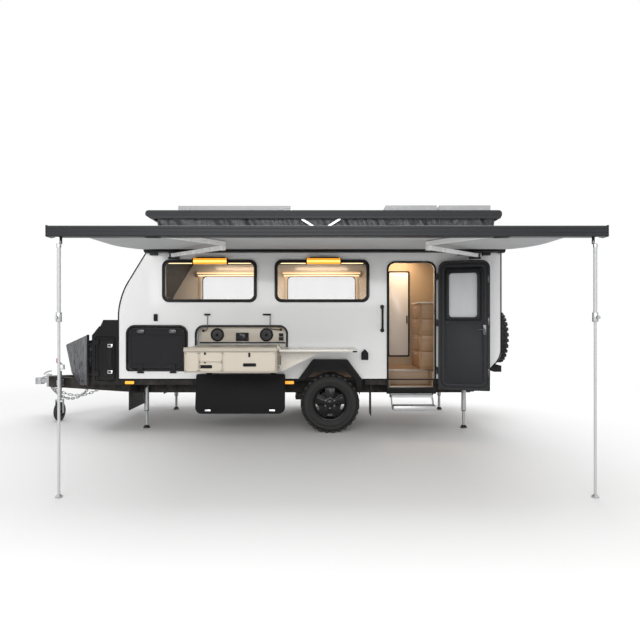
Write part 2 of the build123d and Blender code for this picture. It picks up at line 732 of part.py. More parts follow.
def guard_frame():
    """Tube frame of the stone guard: uprights, leaning nose, rails and stand-offs."""
    foot = guard_corner("foot", 0)
    head = guard_corner("head", 0)
    low = guard_corner("nose_low", 0)
    top = guard_corner("nose_top", 0)
    tubes = rod(guard_corner("foot", -12), guard_corner("head", 12), 16)
    for start, end in ((foot, low), (head, top), (low, top)):
        tubes += rod(start, end, GUARD_TUBE_R)
    for z in GUARD_STAYS:
        tubes += rod((GUARD_X, GUARD_HALF, z), (BOX_FRONT, GUARD_HALF, z), 10)
    frame = tubes + mirror(tubes, about=Plane.XZ)
    for x, y, z in (low, top):
        frame += rod((x, -y, z), (x, y, z), GUARD_TUBE_R)
    return frame


def guard_cover():
    """Vinyl sheets of the stone guard, stretched outside its tubes."""
    along = Vector(GUARD_APEX[0] - GUARD_X, GUARD_APEX_Y - GUARD_HALF, 0).normalized()
    normal = Vector(along.Y, -along.X, 0)
    inner = normal * (GUARD_TUBE_R - FIT)
    outer = inner + normal * 3
    rails = []
    for start, end, lift in (("foot", "nose_low", 4), ("head", "nose_top", -4)):
        a = Vector(*guard_corner(start, lift))
        b = Vector(*guard_corner(end, lift))
        run = (b - a).normalized()
        rails.append((a + run * 14, b - run * 40))
    sections = []
    for low, top in zip(*rails):
        sections.append(make_face(Polyline(low + inner, top + inner, top + outer, low + outer, close=True)))
    return both(loft(sections, ruled=True))


# Wheels and suspension
TREAD_HALF = TYRE_W * 0.4
TYRE_OUTER = (
    {"y": TYRE_W * 0.5, "r": RIM_R + 87},
    {"y": TYRE_W * 0.49, "r": TYRE_R - 42},
    {"y": TREAD_HALF, "r": TYRE_R - LUG_H - 3},
)
TYRE_INNER = (
    {"y": TYRE_W * 0.5 + 1, "r": RIM_R + 80},
    {"y": TYRE_W * 0.44, "r": RIM_R + 26},
    {"y": TYRE_W * 0.36, "r": RIM_R - 7 + FIT},
)


def tyre_loft(rows, growth):
    """Many-sided body of revolution about Y, through rows and their mirror images."""
    stations = [(-row["y"], row["r"]) for row in rows]
    stations += [(row["y"], row["r"]) for row in reversed(rows)]
    return loft([sided(r * growth, y, TYRE_SIDES, (1, 0, 0), (0, 1, 0)) for y, r in stations], ruled=True)


def lug_disc():
    """Disc of the tread with square cross lugs, flat on the ground at its foot."""
    pitch = 360 / LUG_COUNT
    tip = TYRE_R / cos(radians(0.3 * pitch))
    root = TYRE_R - LUG_H
    corners = ((-0.3, tip), (0.3, tip), (0.38, root), (0.62, root))
    points = []
    for i in range(LUG_COUNT):
        for share, r in corners:
            angle = radians((i + share) * pitch)
            points.append((r * cos(angle), r * sin(angle)))
    return extrude(Plane.XZ * make_face(Polyline(*points, close=True)), amount=TREAD_HALF, both=True)


def tyre():
    """Tyre about the Y axis through the origin, with cross lugs."""
    hole = tyre_loft(TYRE_INNER, 1 / cos(radians(180 / TYRE_SIDES)))
    return tyre_loft(TYRE_OUTER, 1) + lug_disc() - hole


def rim(face_sign):
    """Rim about the Y axis with five dished spokes that face along face_sign on Y."""
    half = TYRE_W * 0.42
    barrel = Cylinder(RIM_R - 7, 2 * half) - Cylinder(RIM_R - 20, 2 * half + 9)
    for end in (-1, 1):
        barrel += Pos(0, 0, end * (half + 5)) * (Cylinder(RIM_R + 8, 14) - Cylinder(RIM_R - 20, 20))
    hub_w, tip_w = SPOKE_W
    reach = (HUB_R - 14, RIM_R - 8)
    corners = ((reach[0], -hub_w / 2), (reach[1], -tip_w / 2), (reach[1], tip_w / 2), (reach[0], hub_w / 2))
    spoke = extrude(make_face(Polyline(*corners, close=True)), amount=SPOKE_T / 2, both=True)
    spoke = Pos(0, 0, half - 55) * (Rot(0, -SPOKE_TILT, 0) * spoke)
    spoke &= Cylinder(RIM_R - 13, 4 * half)
    for i in range(SPOKES):
        barrel += Rot(0, 0, 90 + 360 * i / SPOKES) * spoke
    for radius, low, high in ((HUB_R, half - 75, half - 32), (46, half - 40, half + 4)):
        barrel += Pos(0, 0, (low + high) / 2) * Cylinder(radius, high - low)
    return Rot(-90 * face_sign, 0, 0) * barrel


RIM_BORE = STUB_R + FIT


def road_rim(side):
    """Rim of one road wheel with a blind bore for its stub axle."""
    shape = rim(side)
    shape = Pos(0, side * WHEEL_Y, TYRE_R) * shape
    far = side * (WHEEL_Y + TYRE_W * 0.42 - 6)
    return shape - rod((0, side * 700, TYRE_R), (0, far, TYRE_R), RIM_BORE)


def suspension():
    """Trailing arms with drums and stub axles, spring seats and dampers."""
    arm_y = RAIL_Y + 95
    pivot = (ARM_PIVOT_X, ARM_PIVOT_Z)
    arm = beam((pivot[0], arm_y, pivot[1]), (60, arm_y, TYRE_R), 70, 90)
    arm += rod((pivot[0], RAIL_Y + 32, pivot[1]), (pivot[0], RAIL_Y + 150, pivot[1]), 45)
    arm += rod((0, RAIL_Y + 70, TYRE_R), (0, WHEEL_Y - TYRE_W * 0.36, TYRE_R), 60)
    arm += rod((0, WHEEL_Y - TYRE_W * 0.5, TYRE_R), (0, WHEEL_Y + 10, TYRE_R), DRUM_R)
    arm += rod((0, WHEEL_Y, TYRE_R), (0, WHEEL_Y + 60, TYRE_R), STUB_R)
    hanger_x = (ARM_PIVOT_X - 45, ARM_PIVOT_X + 45)
    hanger = block(hanger_x, (RAIL_Y + 30, RAIL_Y + 42), (ARM_PIVOT_Z - 60, RAIL_Z[1]))
    arm += rod((-190, arm_y - 1, 420), (-190, arm_y - 1, BODY_BASE), 58)
    arm += rod((40, arm_y - 1, 400), (110, arm_y - 1, BODY_BASE - 8), 24)
    return both(arm + hanger)


def arches():
    """Wheel-arch flares: a face set back inside a raised border with a rear tail."""
    low, top = ARCH_LOW_HALF, ARCH_TOP_HALF
    outer = (
        (-low, BODY_BASE),
        (-low, ARCH_LOW_Z + 2),
        (-top, ARCH_TOP_Z),
        (top, ARCH_TOP_Z),
        (low, ARCH_LOW_Z + 2),
        (low - 15, ARCH_TAIL_Z),
        (low - 63, ARCH_TAIL_Z + 35),
        (ARCH_OPEN_LOW, BODY_BASE),
    )
    radii = (4, 1, 40, 40, 12, 6, 6, 0)
    side, cap = ARCH_BORDER
    inner_z = ARCH_TOP_Z - cap
    lean = (low - top) / (ARCH_TOP_Z - ARCH_LOW_Z)
    inner_top = low - side - lean * (inner_z - ARCH_LOW_Z)
    cut = (-BODY_HALF - ARCH_PROUD - 9, -BODY_HALF + 9)
    border = plate_xz(outer, radii, (-BODY_HALF - ARCH_PROUD, -BODY_HALF))
    border -= arch_prism(low - side, inner_top, inner_z, cut)
    face = plate_xz(outer, radii, (-BODY_HALF - ARCH_FACE, -BODY_HALF))
    face -= arch_prism(ARCH_OPEN_LOW, ARCH_OPEN_TOP, ARCH_OPEN_Z, cut)
    return both(border + face)


def mud_flaps():
    """Rubber flaps behind the road wheels and a wide pair below the front of the body."""
    edge = -BODY_HALF + 5
    rear = block((515, 523), (edge, -TUB_IN_Y - 90), (220, RAIL_Z[1]))
    x = (-2554, -2546)
    rail_out = -RAIL_Y - RAIL_W / 2 - 5
    front = block(x, (edge, rail_out), (288, OUTRIGGER_Z[0]))
    front += block(x, (rail_out - 1, -440), (288, RAIL_Z[0] - FIT))
    return group(both(rear), both(front))


def tanks():
    """Two water tanks between the main rails."""
    inner = RAIL_Y - RAIL_W / 2 - 30
    first = block((-1990, -1560), (-inner, inner), (470, OUTRIGGER_Z[1]))
    second = block((-1440, -740), (-inner, inner), (470, OUTRIGGER_Z[1]))
    return group(first, second)


# Awning, in a plane that falls away from the wall
SHOULDER_Y = -BODY_HALF - CASE_D - SHOULDER_GAP
SLOPE = radians(AWNING_DROP)
AWNING_PLANE = Plane(
    origin=(AWNING_X, SHOULDER_Y, SHOULDER_Z),
    x_dir=(1, 0, 0),
    z_dir=(0, -sin(SLOPE), cos(SLOPE)),
)
ARM_W = 46.0
UPPER_W = (-62.0, -22.0)
FORE_W = (-18.0, 20.0)
AWNING_PIN_R = 9.0


def link(start, end, w):
    """Arm link in the awning plane from start to end (u, v), thick over w."""
    a = Vector(start[0], -start[1])
    b = Vector(end[0], -end[1])
    face = Plane((a + b) / 2, x_dir=(b - a)) * SlotCenterToCenter((b - a).length, ARM_W)
    return Pos(0, 0, w[0]) * extrude(face, amount=w[1] - w[0])


def pin(at, w, radius):
    """Upright pin in the awning plane."""
    seat = (Align.CENTER, Align.CENTER, Align.MIN)
    return Pos(at[0], -at[1], w[0]) * Cylinder(radius, w[1] - w[0], align=seat)


def upper_arm(side):
    """Upper arm with a shoulder bore and an elbow pin."""
    shoulder = (side * SHOULDER_U, 0)
    elbow = (side * ELBOW_U, ELBOW_V)
    shape = link(shoulder, elbow, UPPER_W) + pin(elbow, (UPPER_W[0], FORE_W[1] + 4), AWNING_PIN_R)
    return AWNING_PLANE * (shape - pin(shoulder, (-99, 99), AWNING_PIN_R + FIT))


def forearm(side):
    """Forearm with an elbow bore and a wrist pin."""
    elbow = (side * ELBOW_U, ELBOW_V)
    wrist = (side * WRIST_U, AWNING_OUT)
    shape = link(elbow, wrist, FORE_W) - pin(elbow, (-99, 99), AWNING_PIN_R + FIT)
    return AWNING_PLANE * (shape + pin(wrist, (FORE_W[0] - 16, FORE_W[1] + 16), AWNING_PIN_R))


WALL_BRACKETS = (
    {"side": -1, "inset": 98.0},
    {"side": -1, "inset": 402.0},
    {"side": 1, "inset": 208.0},
    {"side": 1, "inset": 520.0},
)


def shoulder_bracket(side, case):
    """Back plate, two cheeks and the pin that carry one awning arm."""
    low = (UPPER_W[0] - 26, UPPER_W[0] - 2)
    high = (UPPER_W[1] + 2, UPPER_W[1] + 30)
    spot = AWNING_PLANE * Pos(side * SHOULDER_U, 0, 0)
    bore = Cylinder(AWNING_PIN_R + FIT, 400)
    back = SHOULDER_GAP - 5
    pieces = [spot * (block((-60, 60), (-22, back - FIT), w) - bore) for w in (low, high)]
    plate = spot * block((-60, 60), (back, SHOULDER_GAP + 45), (low[0], high[1] + 24))
    pieces.append(plate - case)
    pieces.append(AWNING_PLANE * pin((side * SHOULDER_U, 0), (low[0], high[1]), AWNING_PIN_R))
    return pieces


def awning_case():
    """Awning case on the wall with its shoulder and wall brackets as fitted pieces."""
    y = (-BODY_HALF - CASE_D, -BODY_HALF)
    half = AWNING_L / 2
    points = (
        (y[0], CASE_Z[0] + 20),
        (y[0] + 25, CASE_Z[0]),
        (y[1], CASE_Z[0]),
        (y[1], CASE_Z[1]),
        (y[0] + 15, CASE_Z[1]),
        (y[0], CASE_Z[1] - 15),
    )
    case = plate_yz(points, (6, 6, 2, 2, 6, 6), (AWNING_X - half, AWNING_X + half))
    pieces = [case]
    for side in (-1, 1):
        pieces.extend(shoulder_bracket(side, case))
    for row in WALL_BRACKETS:
        x = AWNING_X + row["side"] * (half - row["inset"])
        pieces.append(block((x - 45, x + 45), (y[0] + 50, y[1]), (CASE_Z[0] - 34, CASE_Z[0] - FIT)))
    return group(*pieces)


def wrist_lugs(side, bar):
    """Pair of wrist lugs; the far arm's pair is slotted along the rail."""
    at = AWNING_PLANE * Pos(side * WRIST_U, -AWNING_OUT, 0)
    slip = WRIST_SLIP if side > 0 else FIT
    slot = extrude(SlotCenterToCenter(2 * slip, 2 * (AWNING_PIN_R + FIT)), amount=99, both=True)
    lugs = []
    for w in ((FORE_W[0] - 16, FORE_W[0] - 4), (FORE_W[1] + 4, FORE_W[1] + 16)):
        plate = block((-40, 40), (-RAIL_BACK - 10, 16), w)
        lugs.append(at * (plate - slot) - bar)
    return lugs


def lead_rail():
    """Lead rail with wrist lugs and the pivots of the two poles, as fitted pieces."""
    half = AWNING_L / 2
    y = (LEAD_Y - LEAD_D / 2, LEAD_Y + LEAD_D / 2)
    z = (LEAD_LOW, LEAD_LOW + LEAD_H)
    points = ((y[0], z[0]), (y[1], z[0]), (y[1], z[1]), (y[0], z[1]))
    bar = plate_yz(points, (14, 8, 8, 22), (AWNING_X - half, AWNING_X + half))
    pieces = [bar]
    for side in (-1, 1):
        pieces.extend(wrist_lugs(side, bar))
        x = AWNING_X + side * (half - POLE_IN)
        reach = POLE_R + 8
        fork = rod((x, LEAD_Y - reach, POLE_Z), (x, LEAD_Y + reach, POLE_Z), PIN_R)
        for cheek in (-1, 1):
            at = LEAD_Y + cheek * (POLE_R + 7)
            fork += block((x - 16, x + 16), (at - 4, at + 4), (POLE_Z - 16, z[0] - FIT))
        pieces.append(fork)
    return group(*pieces)


LEAD_Y = SHOULDER_Y - (AWNING_OUT + RAIL_BACK) * cos(SLOPE) - LEAD_D / 2
LEAD_LOW = SHOULDER_Z - (AWNING_OUT + RAIL_BACK) * sin(SLOPE) + LEAD_UP - LEAD_H / 2
POLE_Z = LEAD_LOW - POLE_DROP


def pole(side):
    """Telescopic awning pole with a foot on the ground."""
    x = AWNING_X + side * (AWNING_L / 2 - POLE_IN)
    tube = rod((x, LEAD_Y, POLE_SPLIT), (x, LEAD_Y, POLE_Z), POLE_R)
    tube += rod((x, LEAD_Y, 8), (x, LEAD_Y, POLE_SPLIT + 10), POLE_R - 4)
    tube += rod((x, LEAD_Y - POLE_R + 2, POLE_Z), (x, LEAD_Y + POLE_R - 2, POLE_Z), POLE_R)
    tube += rod((x, LEAD_Y, 0), (x, LEAD_Y, 10), 27)
    tube += rod((x, LEAD_Y, POLE_SPLIT - 35), (x, LEAD_Y, POLE_SPLIT + 35), 22)
    return tube - rod((x, LEAD_Y - 50, POLE_Z), (x, LEAD_Y + 50, POLE_Z), PIN_R + FIT)


FABRIC_START = (-BODY_HALF - CASE_D - FIT, CASE_Z[0] + 33)
FABRIC_END = (LEAD_Y + LEAD_D / 2 + FIT, LEAD_LOW + LEAD_H - 4)


def fabric():
    """Awning sheet between case and rail, sagging a little."""
    a = Vector(*FABRIC_START)
    b = Vector(*FABRIC_END)
    mid = (a + b) / 2 - Vector(0, FABRIC_SAG)
    lift = Vector(0, FABRIC_T)
    low = ThreePointArc(a, mid, b)
    high = ThreePointArc(a + lift, mid + lift, b + lift)
    face = make_face([low, Line(b, b + lift), high, Line(a + lift, a)])
    return Pos(AWNING_X - FABRIC_L / 2, 0, 0) * extrude(Plane.YZ * face, amount=FABRIC_L)


# Pop-top roof
def roof_shell():
    """Roof tray with a rounded rim and a drawn-in front lip."""
    top = (ROOF_Z[0] + 40, ROOF_Z[1])
    x = (ROOF_FRONT, ROOF_REAR)
    outline = (
        (x[0], top[0]),
        (x[0] + 60, ROOF_Z[0]),
        (x[1] - 20, ROOF_Z[0]),
        (x[1], top[0]),
        (x[1], top[1]),
        (x[0], top[1]),
    )
    tray = plate_xz(outline, (20, 10, 10, 10, 40, 40), (-ROOF_HALF, ROOF_HALF))
    tray -= block((x[0] + 90, x[1] - 40), (-ROOF_HALF + 12, ROOF_HALF - 12), (ROOF_Z[0] - 5, ROOF_Z[1] - 30))
    return tray


PANEL_TABLE = (
    {"x": (738.0, 1406.0), "y": (-850.0, 630.0)},
    {"x": (1445.0, 2113.0), "y": (-850.0, 630.0)},
    {"x": (-1997.0, -517.0), "y": (-820.0, -150.0)},
)


def solar_panels():
    """Framed solar panels on corner feet."""
    panels = []
    for row in PANEL_TABLE:
        panel = block(row["x"], row["y"], (PANEL_Z, PANEL_Z + PANEL_T))
        for x in (row["x"][0] + 120, row["x"][1] - 120):
            for y in (row["y"][0] + 30, row["y"][1] - 30):
                panel += block((x - 40, x + 40), (y - 25, y + 25), (ROOF_Z[1], PANEL_Z + 2))
        panels.append(panel)
    return group(*panels)


def roof_skirt():
    """Tent skirt between the body and the raised roof."""
    x = (NOSE_TOP_X + 60, BODY_REAR - 60)
    z = (BODY_TOP, ROOF_Z[1] - 30)
    outer = block(x, (-SKIRT_Y, SKIRT_Y), z)
    return outer - block(grown(x, -4), (-SKIRT_Y + 4, SKIRT_Y - 4), grown(z, 5))


# Kitchen, table and step
FRONTS = (
    {"x": (10.0, 161.0), "z": (7.0, 220.0), "slot": None},
    {"x": (166.0, 426.0), "z": (7.0, 110.0), "slot": (238.0, 60.0)},
    {"x": (166.0, 426.0), "z": (115.0, 220.0), "slot": None},
    {"x": (431.0, 1022.0), "z": (7.0, 220.0), "slot": (732.0, 80.0)},
)
FRONT_T = 16.0
SLOT_SIZE = (136.0, 26.0)


def kitchen_front(row):
    """One drawer front of the kitchen, with its slot handle if it has one."""
    x = [KITCHEN_X[0] + v for v in row["x"]]
    z = [KITCHEN_Z[0] + v for v in row["z"]]
    y = (KITCHEN_Y[0] - FRONT_T, KITCHEN_Y[0] - FIT)
    front = panel_xz(x, z, y, 6, 6)
    if row["slot"]:
        at = (KITCHEN_X[0] + row["slot"][0], KITCHEN_Z[0] + row["slot"][1])
        w, h = SLOT_SIZE
        front -= block((at[0] - w / 2, at[0] + w / 2), (y[0] - 1, y[0] + 10), (at[1] - h / 2, at[1] + h / 2))
    return front


def table_bracket(at):
    """Bracket on the end of the kitchen that carries one table hinge."""
    x = KITCHEN_X[1]
    bracket = block((x + FIT, x + 15), (at - 42, at + 42), (KITCHEN_Z[1] - 24, KITCHEN_Z[1] - 1))
    for end in (-1, 1):
        c = at + end * 38
        lug_z = (KITCHEN_Z[1] - 10, TABLE_PIVOT_Z + 8)
        bracket += block((x + 4 + FIT, TABLE_PIVOT_X + 8), (c - 4, c + 4), lug_z)
    x, z = TABLE_PIVOT_X, TABLE_PIVOT_Z
    return bracket + rod((x, at - 40, z), (x, at + 40, z), PIN_R)


def gusset_bracket(zc):
    """Bracket on the end of the kitchen that carries one gusset knuckle."""
    bracket = rod((GUSSET_X, GUSSET_Y, zc - 26), (GUSSET_X, GUSSET_Y, zc + 26), PIN_R)
    for end in (-1, 1):
        c = zc + end * 24
        bracket += block((KITCHEN_X[1] + FIT, GUSSET_X + 8), (GUSSET_Y - 8, GUSSET_Y + 8), (c - 4, c + 4))
    return bracket


def kitchen():
    """Pull-out kitchen: carcass, worktop, fronts, runners and hinge brackets."""
    x, y, z = KITCHEN_X, KITCHEN_Y, KITCHEN_Z
    pieces = [block(x, y, z)]
    pieces.append(block((x[0] - 6, x[1] + 4), (y[0] - 10, y[1]), (z[1] + FIT, z[1] + TOP_T)))
    pieces.extend(kitchen_front(row) for row in FRONTS)
    runner_z = KITCHEN_SILL + RUNNER_LIFT
    for at in grown(x, -110):
        pieces.append(block((at - 25, at + 25), (y[0] + 60, y[1] + 9), (runner_z, z[0] - FIT)))
        pieces.append(block((at - 25, at + 25), (-IN_Y, y[1] + 9), (FLOOR_TOP, runner_z - FIT)))
    pieces.extend(table_bracket(at) for at in grown(TABLE_Y, -70))
    pieces.extend(gusset_bracket(zc) for zc in (z[0] + 30, z[1] - 60))
    return group(*pieces)


PANEL_Y = -BODY_HALF + 100.0
FACIA_T = 14.0
FACIA_X = (-1658.0, -584.0)
FACIA_Z = (1154.0, 1352.0)
SPEAKER_XS = (-1444.0, -814.0)
SPEAKER_R = 86.0
SPEAKER_Z = 1245.0
LAMP_TABLE = (
    {"base": (-1621.0, 1298.0), "stem": -1545.0, "head": (-1582.0, -1510.0)},
    {"base": (-629.0, 1311.0), "stem": -756.0, "head": (-845.0, -745.0)},
)
LAMP_Y = -BODY_HALF - 45.0
LAMP_Z = (1322.0, 1503.0)


def reading_lamp(row, y):
    """Gooseneck lamp: joint on the facia, bent stem and a small head."""
    x, z = row["base"]
    knee = (row["stem"], LAMP_Y, LAMP_Z[0])
    lamp = rod((x, y - FIT, z), (x, y - 26, z), 15)
    lamp += rod((x, y - 18, z), knee, 6)
    lamp += Pos(*knee) * Sphere(6)
    lamp += rod(knee, (row["stem"], LAMP_Y, LAMP_Z[1]), 6)
    return lamp + rod((row["head"][0], LAMP_Y, LAMP_Z[1]), (row["head"][1], LAMP_Y, LAMP_Z[1]), 10)


def kitchen_panel():
    """Fixed board behind the kitchen, its facia, speakers, media unit and lamps."""
    front = PANEL_Y - FACIA_T
    pieces = [block(grown(KITCHEN_HATCH_X, 30), (PANEL_Y, PANEL_Y + 15), (FLOOR_TOP, HATCH_Z[1] + 8))]
    facia = block(FACIA_X, (front, PANEL_Y - FIT), FACIA_Z)
    for x in SPEAKER_XS:
        facia += rod((x, front + 2, SPEAKER_Z), (x, front - 12, SPEAKER_Z), SPEAKER_R)
    pieces.append(facia)
    plates = (
        {"x": (-1206.0, -1043.0), "z": (1166.0, 1272.0)},
        {"x": (-655.0, -596.0), "z": (1222.0, 1266.0)},
        {"x": (-655.0, -596.0), "z": (1172.0, 1216.0)},
    )
    for row in plates:
        pieces.append(panel_xz(row["x"], row["z"], (front - 12, front - FIT), 6, 6))
    pieces.extend(reading_lamp(row, front) for row in LAMP_TABLE)
    return group(*pieces)


def side_table():
    """Flip-over table on the kitchen edge."""
    top = block(TABLE_X, TABLE_Y, TABLE_Z)
    for at in (TABLE_Y[0] + 70, TABLE_Y[1] - 70):
        span = (at - 33, at + 33)
        ends = [(TABLE_PIVOT_X, y, TABLE_PIVOT_Z) for y in span]
        top += rod(*ends, KNUCKLE_R)
        top += plate_xz(
            (
                (TABLE_PIVOT_X - 2, TABLE_PIVOT_Z + 8),
                (TABLE_PIVOT_X + 7, TABLE_PIVOT_Z - 6),
                (TABLE_X[0], TABLE_Z[0]),
                (TABLE_X[0] + 60, TABLE_Z[0]),
                (TABLE_X[0] + 60, TABLE_Z[1] + 3),
                (TABLE_X[0] + 20, TABLE_Z[1] + 3),
            ),
            0,
            span,
        )
        ends = [(TABLE_PIVOT_X, y, TABLE_PIVOT_Z) for y in grown(span, 9)]
        top -= rod(*ends, PIN_R + FIT)
    return top


def gusset():
    """Triangular table bracket with knuckles on the kitchen side."""
    z = (KITCHEN_Z[0] - 10, KITCHEN_Z[0] - 10 + GUSSET_H)
    start = GUSSET_X + 14
    end = start + GUSSET_L
    points = ((start, z[0]), (start + 30, z[0]), (end, z[1] - 30), (end, z[1]), (start, z[1]))
    plate = plate_xz(points, (6, 6, 6, 6, 6), (GUSSET_Y - 4, GUSSET_Y + 4))
    for zc in (KITCHEN_Z[0] + 30, KITCHEN_Z[1] - 60):
        span = (zc - 19, zc + 19)
        plate += rod((GUSSET_X, GUSSET_Y, span[0]), (GUSSET_X, GUSSET_Y, span[1]), KNUCKLE_R)
        plate += block((GUSSET_X, start + 4), (GUSSET_Y - 4, GUSSET_Y + 4), span)
        plate -= rod((GUSSET_X, GUSSET_Y, span[0] - 9), (GUSSET_X, GUSSET_Y, span[1] + 9), PIN_R + FIT)
    return plate


def entry_step():
    """Folding entry step with two treads between its side plates."""
    y, z = STEP_PIVOT_Y, STEP_PIVOT_Z
    outline = (
        (y + 16, z + 16),
        (y + 16, z - 16),
        (y - 110, z - 150),
        (y - 280, z - 150),
        (y - 280, z - 94),
        (y - 130, z - 94),
        (y - 60, z + 16),
    )
    step = None
    for x in STEP_X:
        cheek = plate_yz(outline, 4, (x - 4, x + 4))
        step = cheek if step is None else step + cheek
    step += block(STEP_X, (y - 276, y - 110), (z - 146, z - 98))
    step += block(STEP_X, (y - 92, y + 4), (z - 12, z + 14))
    return step - rod((STEP_X[0] - 20, y, z), (STEP_X[1] + 20, y, z), 8 + FIT)


def step_mount():
    """Hanger ears of the folding step below the sill, with its pivot pin."""
    y, z = STEP_PIVOT_Y, STEP_PIVOT_Z
    mount = rod((STEP_X[0] - 12, y, z), (STEP_X[1] + 12, y, z), 8)
    for x in (STEP_X[0] - 12, STEP_X[1] + 12):
        mount += block((x - 4, x + 4), (y - 20, y + 20), (z - 20, SILL_Z))
    return mount


# Stabiliser legs
def leg(x, side):
    """Drop leg with a round foot, hung on a pin at the main rail."""
    y = side * LEG_Y
    shape = rod((x, y, 12), (x, y, LEG_PIVOT_Z), LEG_R - 5) + rod((x, y, 230), (x, y, LEG_PIVOT_Z), LEG_R)
    shape += rod((x, y - LEG_R, LEG_PIVOT_Z), (x, y + LEG_R, LEG_PIVOT_Z), LEG_R)
    shape += rod((x, y, 0), (x, y, 14), 42)
    return shape - rod((x, y - 60, LEG_PIVOT_Z), (x, y + 60, LEG_PIVOT_Z), 10 + FIT)


def leg_mounts():
    """Pins and cheek plates that carry the stabiliser legs."""
    pieces = []
    for x in LEG_X:
        plate = rod((x, RAIL_Y + RAIL_W / 2, LEG_PIVOT_Z), (x, LEG_Y + LEG_R + 16, LEG_PIVOT_Z), 10)
        plate += rod((x, LEG_Y + LEG_R + 8, LEG_PIVOT_Z), (x, LEG_Y + LEG_R + 16, LEG_PIVOT_Z), 22)
        pieces.append(both(plate))
    return group(*pieces)


# Lamps, rear and interior
LAMP_HALF = 218.0
LAMP_BAR_Z = (2138.0, 2210.0)
LAMP_BAR_Y = (-BODY_HALF - WINDOW_PROUD - 48.0, -BODY_HALF - WINDOW_PROUD - 4.0)


def lamps():
    """Amber bars above the windows, side markers and tail lamps."""
    pieces = []
    for x in (-1510.0, -82.0):
        bar = panel_xz(grown((x, x), LAMP_HALF), LAMP_BAR_Z, LAMP_BAR_Y, 12, 12)
        hanger_z = (LAMP_BAR_Z[1] - 6, LAMP_BAR_Z[1] + 12)
        bar += block(grown((x, x), LAMP_HALF - 50), (LAMP_BAR_Y[0] + 10, -BODY_HALF), hanger_z)
        pieces.append(bar)
    for x in (-2536.0, -514.0):
        marker = panel_xz((x - 56, x + 56), (625, 662), (-BODY_HALF - 20, -BODY_HALF), 8, 8)
        pieces.append(both(marker))
    tail_y = (BODY_HALF - TAIL_INSET[0], BODY_HALF - TAIL_INSET[1])
    tail = panel_yz(tail_y, (1010, 1100), (BODY_REAR, BODY_REAR + 30))
    pieces.append(both(tail))
    return group(*pieces)


def panel_yz(y, z, x):
    """Upright rounded panel across the trailer."""
    points = ((y[0], z[0]), (y[1], z[0]), (y[1], z[1]), (y[0], z[1]))
    return plate_yz(points, 12, x)


def rear_bar():
    """Rear bumper with its stays and the spare wheel carrier."""
    reach = BODY_HALF - BUMPER_INSET
    bar = block(BUMPER_X, (-reach, reach), BUMPER_Z)
    for side in (-1, 1):
        y = side * RAIL_Y
        stay = beam((RAIL_REAR + 34, y, RAIL_Z[0] + 100), (BUMPER_X[1] - 60, y, BUMPER_Z[0] + 12), 50, 60)
        bar += stay
        bar += block((RAIL_REAR, RAIL_REAR + 50), (y - 25, y + 25), (RAIL_Z[0] + 10, RAIL_Z[1] - 10))
        post_y = (side * 120 - 30, side * 120 + 30)
        bar += block((BUMPER_X[1] - 2, BUMPER_X[1] + 50), post_y, (BUMPER_Z[0], 1290))
    bar += block((BUMPER_X[1] + 40, BUMPER_X[1] + 55), (-170, 170), (SPARE_Z - 110, SPARE_Z + 110))
    return bar + rod((BUMPER_X[1] + 40, 0, SPARE_Z), (SPARE_X + 80, 0, SPARE_Z), STUB_R)


def spare():
    """Spare wheel: tyre and rim with the face to the rear."""
    wheel_rim = rim(-1) - rod((0, 700, 0), (0, -TYRE_W * 0.42 + 6, 0), RIM_BORE)
    wheel = group(tyre(), wheel_rim)
    return Pos(SPARE_X, 0, SPARE_Z) * (Rot(0, 0, 90) * wheel)


BED_Z = 1385.0
BED_T = 30.0
BED_X = (BODY_FRONT + WALL + 120, -560.0)
BED_Y = (-BODY_HALF + 120.0, IN_Y - FIT)
BOARD_T = 20.0
CABINET_X = (1230.0, BODY_REAR - DEPART_CUT)


def furniture():
    """Bed deck on two boards, drawer cabinet and blind boxes over the far windows."""
    pieces = [block(BED_X, BED_Y, (BED_Z, BED_Z + BED_T))]
    for x in (BED_X[1] - BOARD_T, -1900.0):
        pieces.append(block((x, x + BOARD_T), BED_Y, (FLOOR_TOP, BED_Z - FIT)))
    pieces.append(block(CABINET_X, (-690, -60), (FLOOR_TOP, 1660)))
    half = WINDOW_W / 2 + 40
    for x in WINDOW_XS:
        pieces.append(block((x - half, x + half), (IN_Y - 60, IN_Y), (2170, 2250)))
    return group(*pieces)


def ensuite():
    """Wash-room walls with a door panel facing the aisle."""
    z = (FLOOR_TOP, RING_Z - 30)
    front = block((820 + FIT, CABINET_X[1]), (80, 110), z)
    side = block((790, 820), (80, IN_Y - FIT), z)
    panel = panel_xz((886, 1192), (900, 2150), (66, 80 - FIT), 20, 20)
    return group(front, side, panel)


def mattress():
    """Mattress on the bed deck."""
    low = BED_Z + BED_T
    slab = block((BED_X[0] + 50, BED_X[1] - 80), grown(BED_Y, -50), (low, low + 175))
    return fillet(slab.edges(), 40)


CHAIN_X = (-3420.0, -4060.0)
CHAIN_END_Y = 26.0
CHAIN_SAG = 145.0
CHAIN_LINKS = 16
LINK_HALF_W = 19.0
LINK_ROD = 10.0


def link_outline(half_length, half_width):
    """Eight-sided outline of a chain link."""
    a, b = half_length, half_width
    c = (a + b) * 0.24
    half = ((a, c - b), (a, b - c), (a - c, b), (c - a, b))
    return make_face(Polyline(*half, *((-x, -y) for x, y in half), close=True))


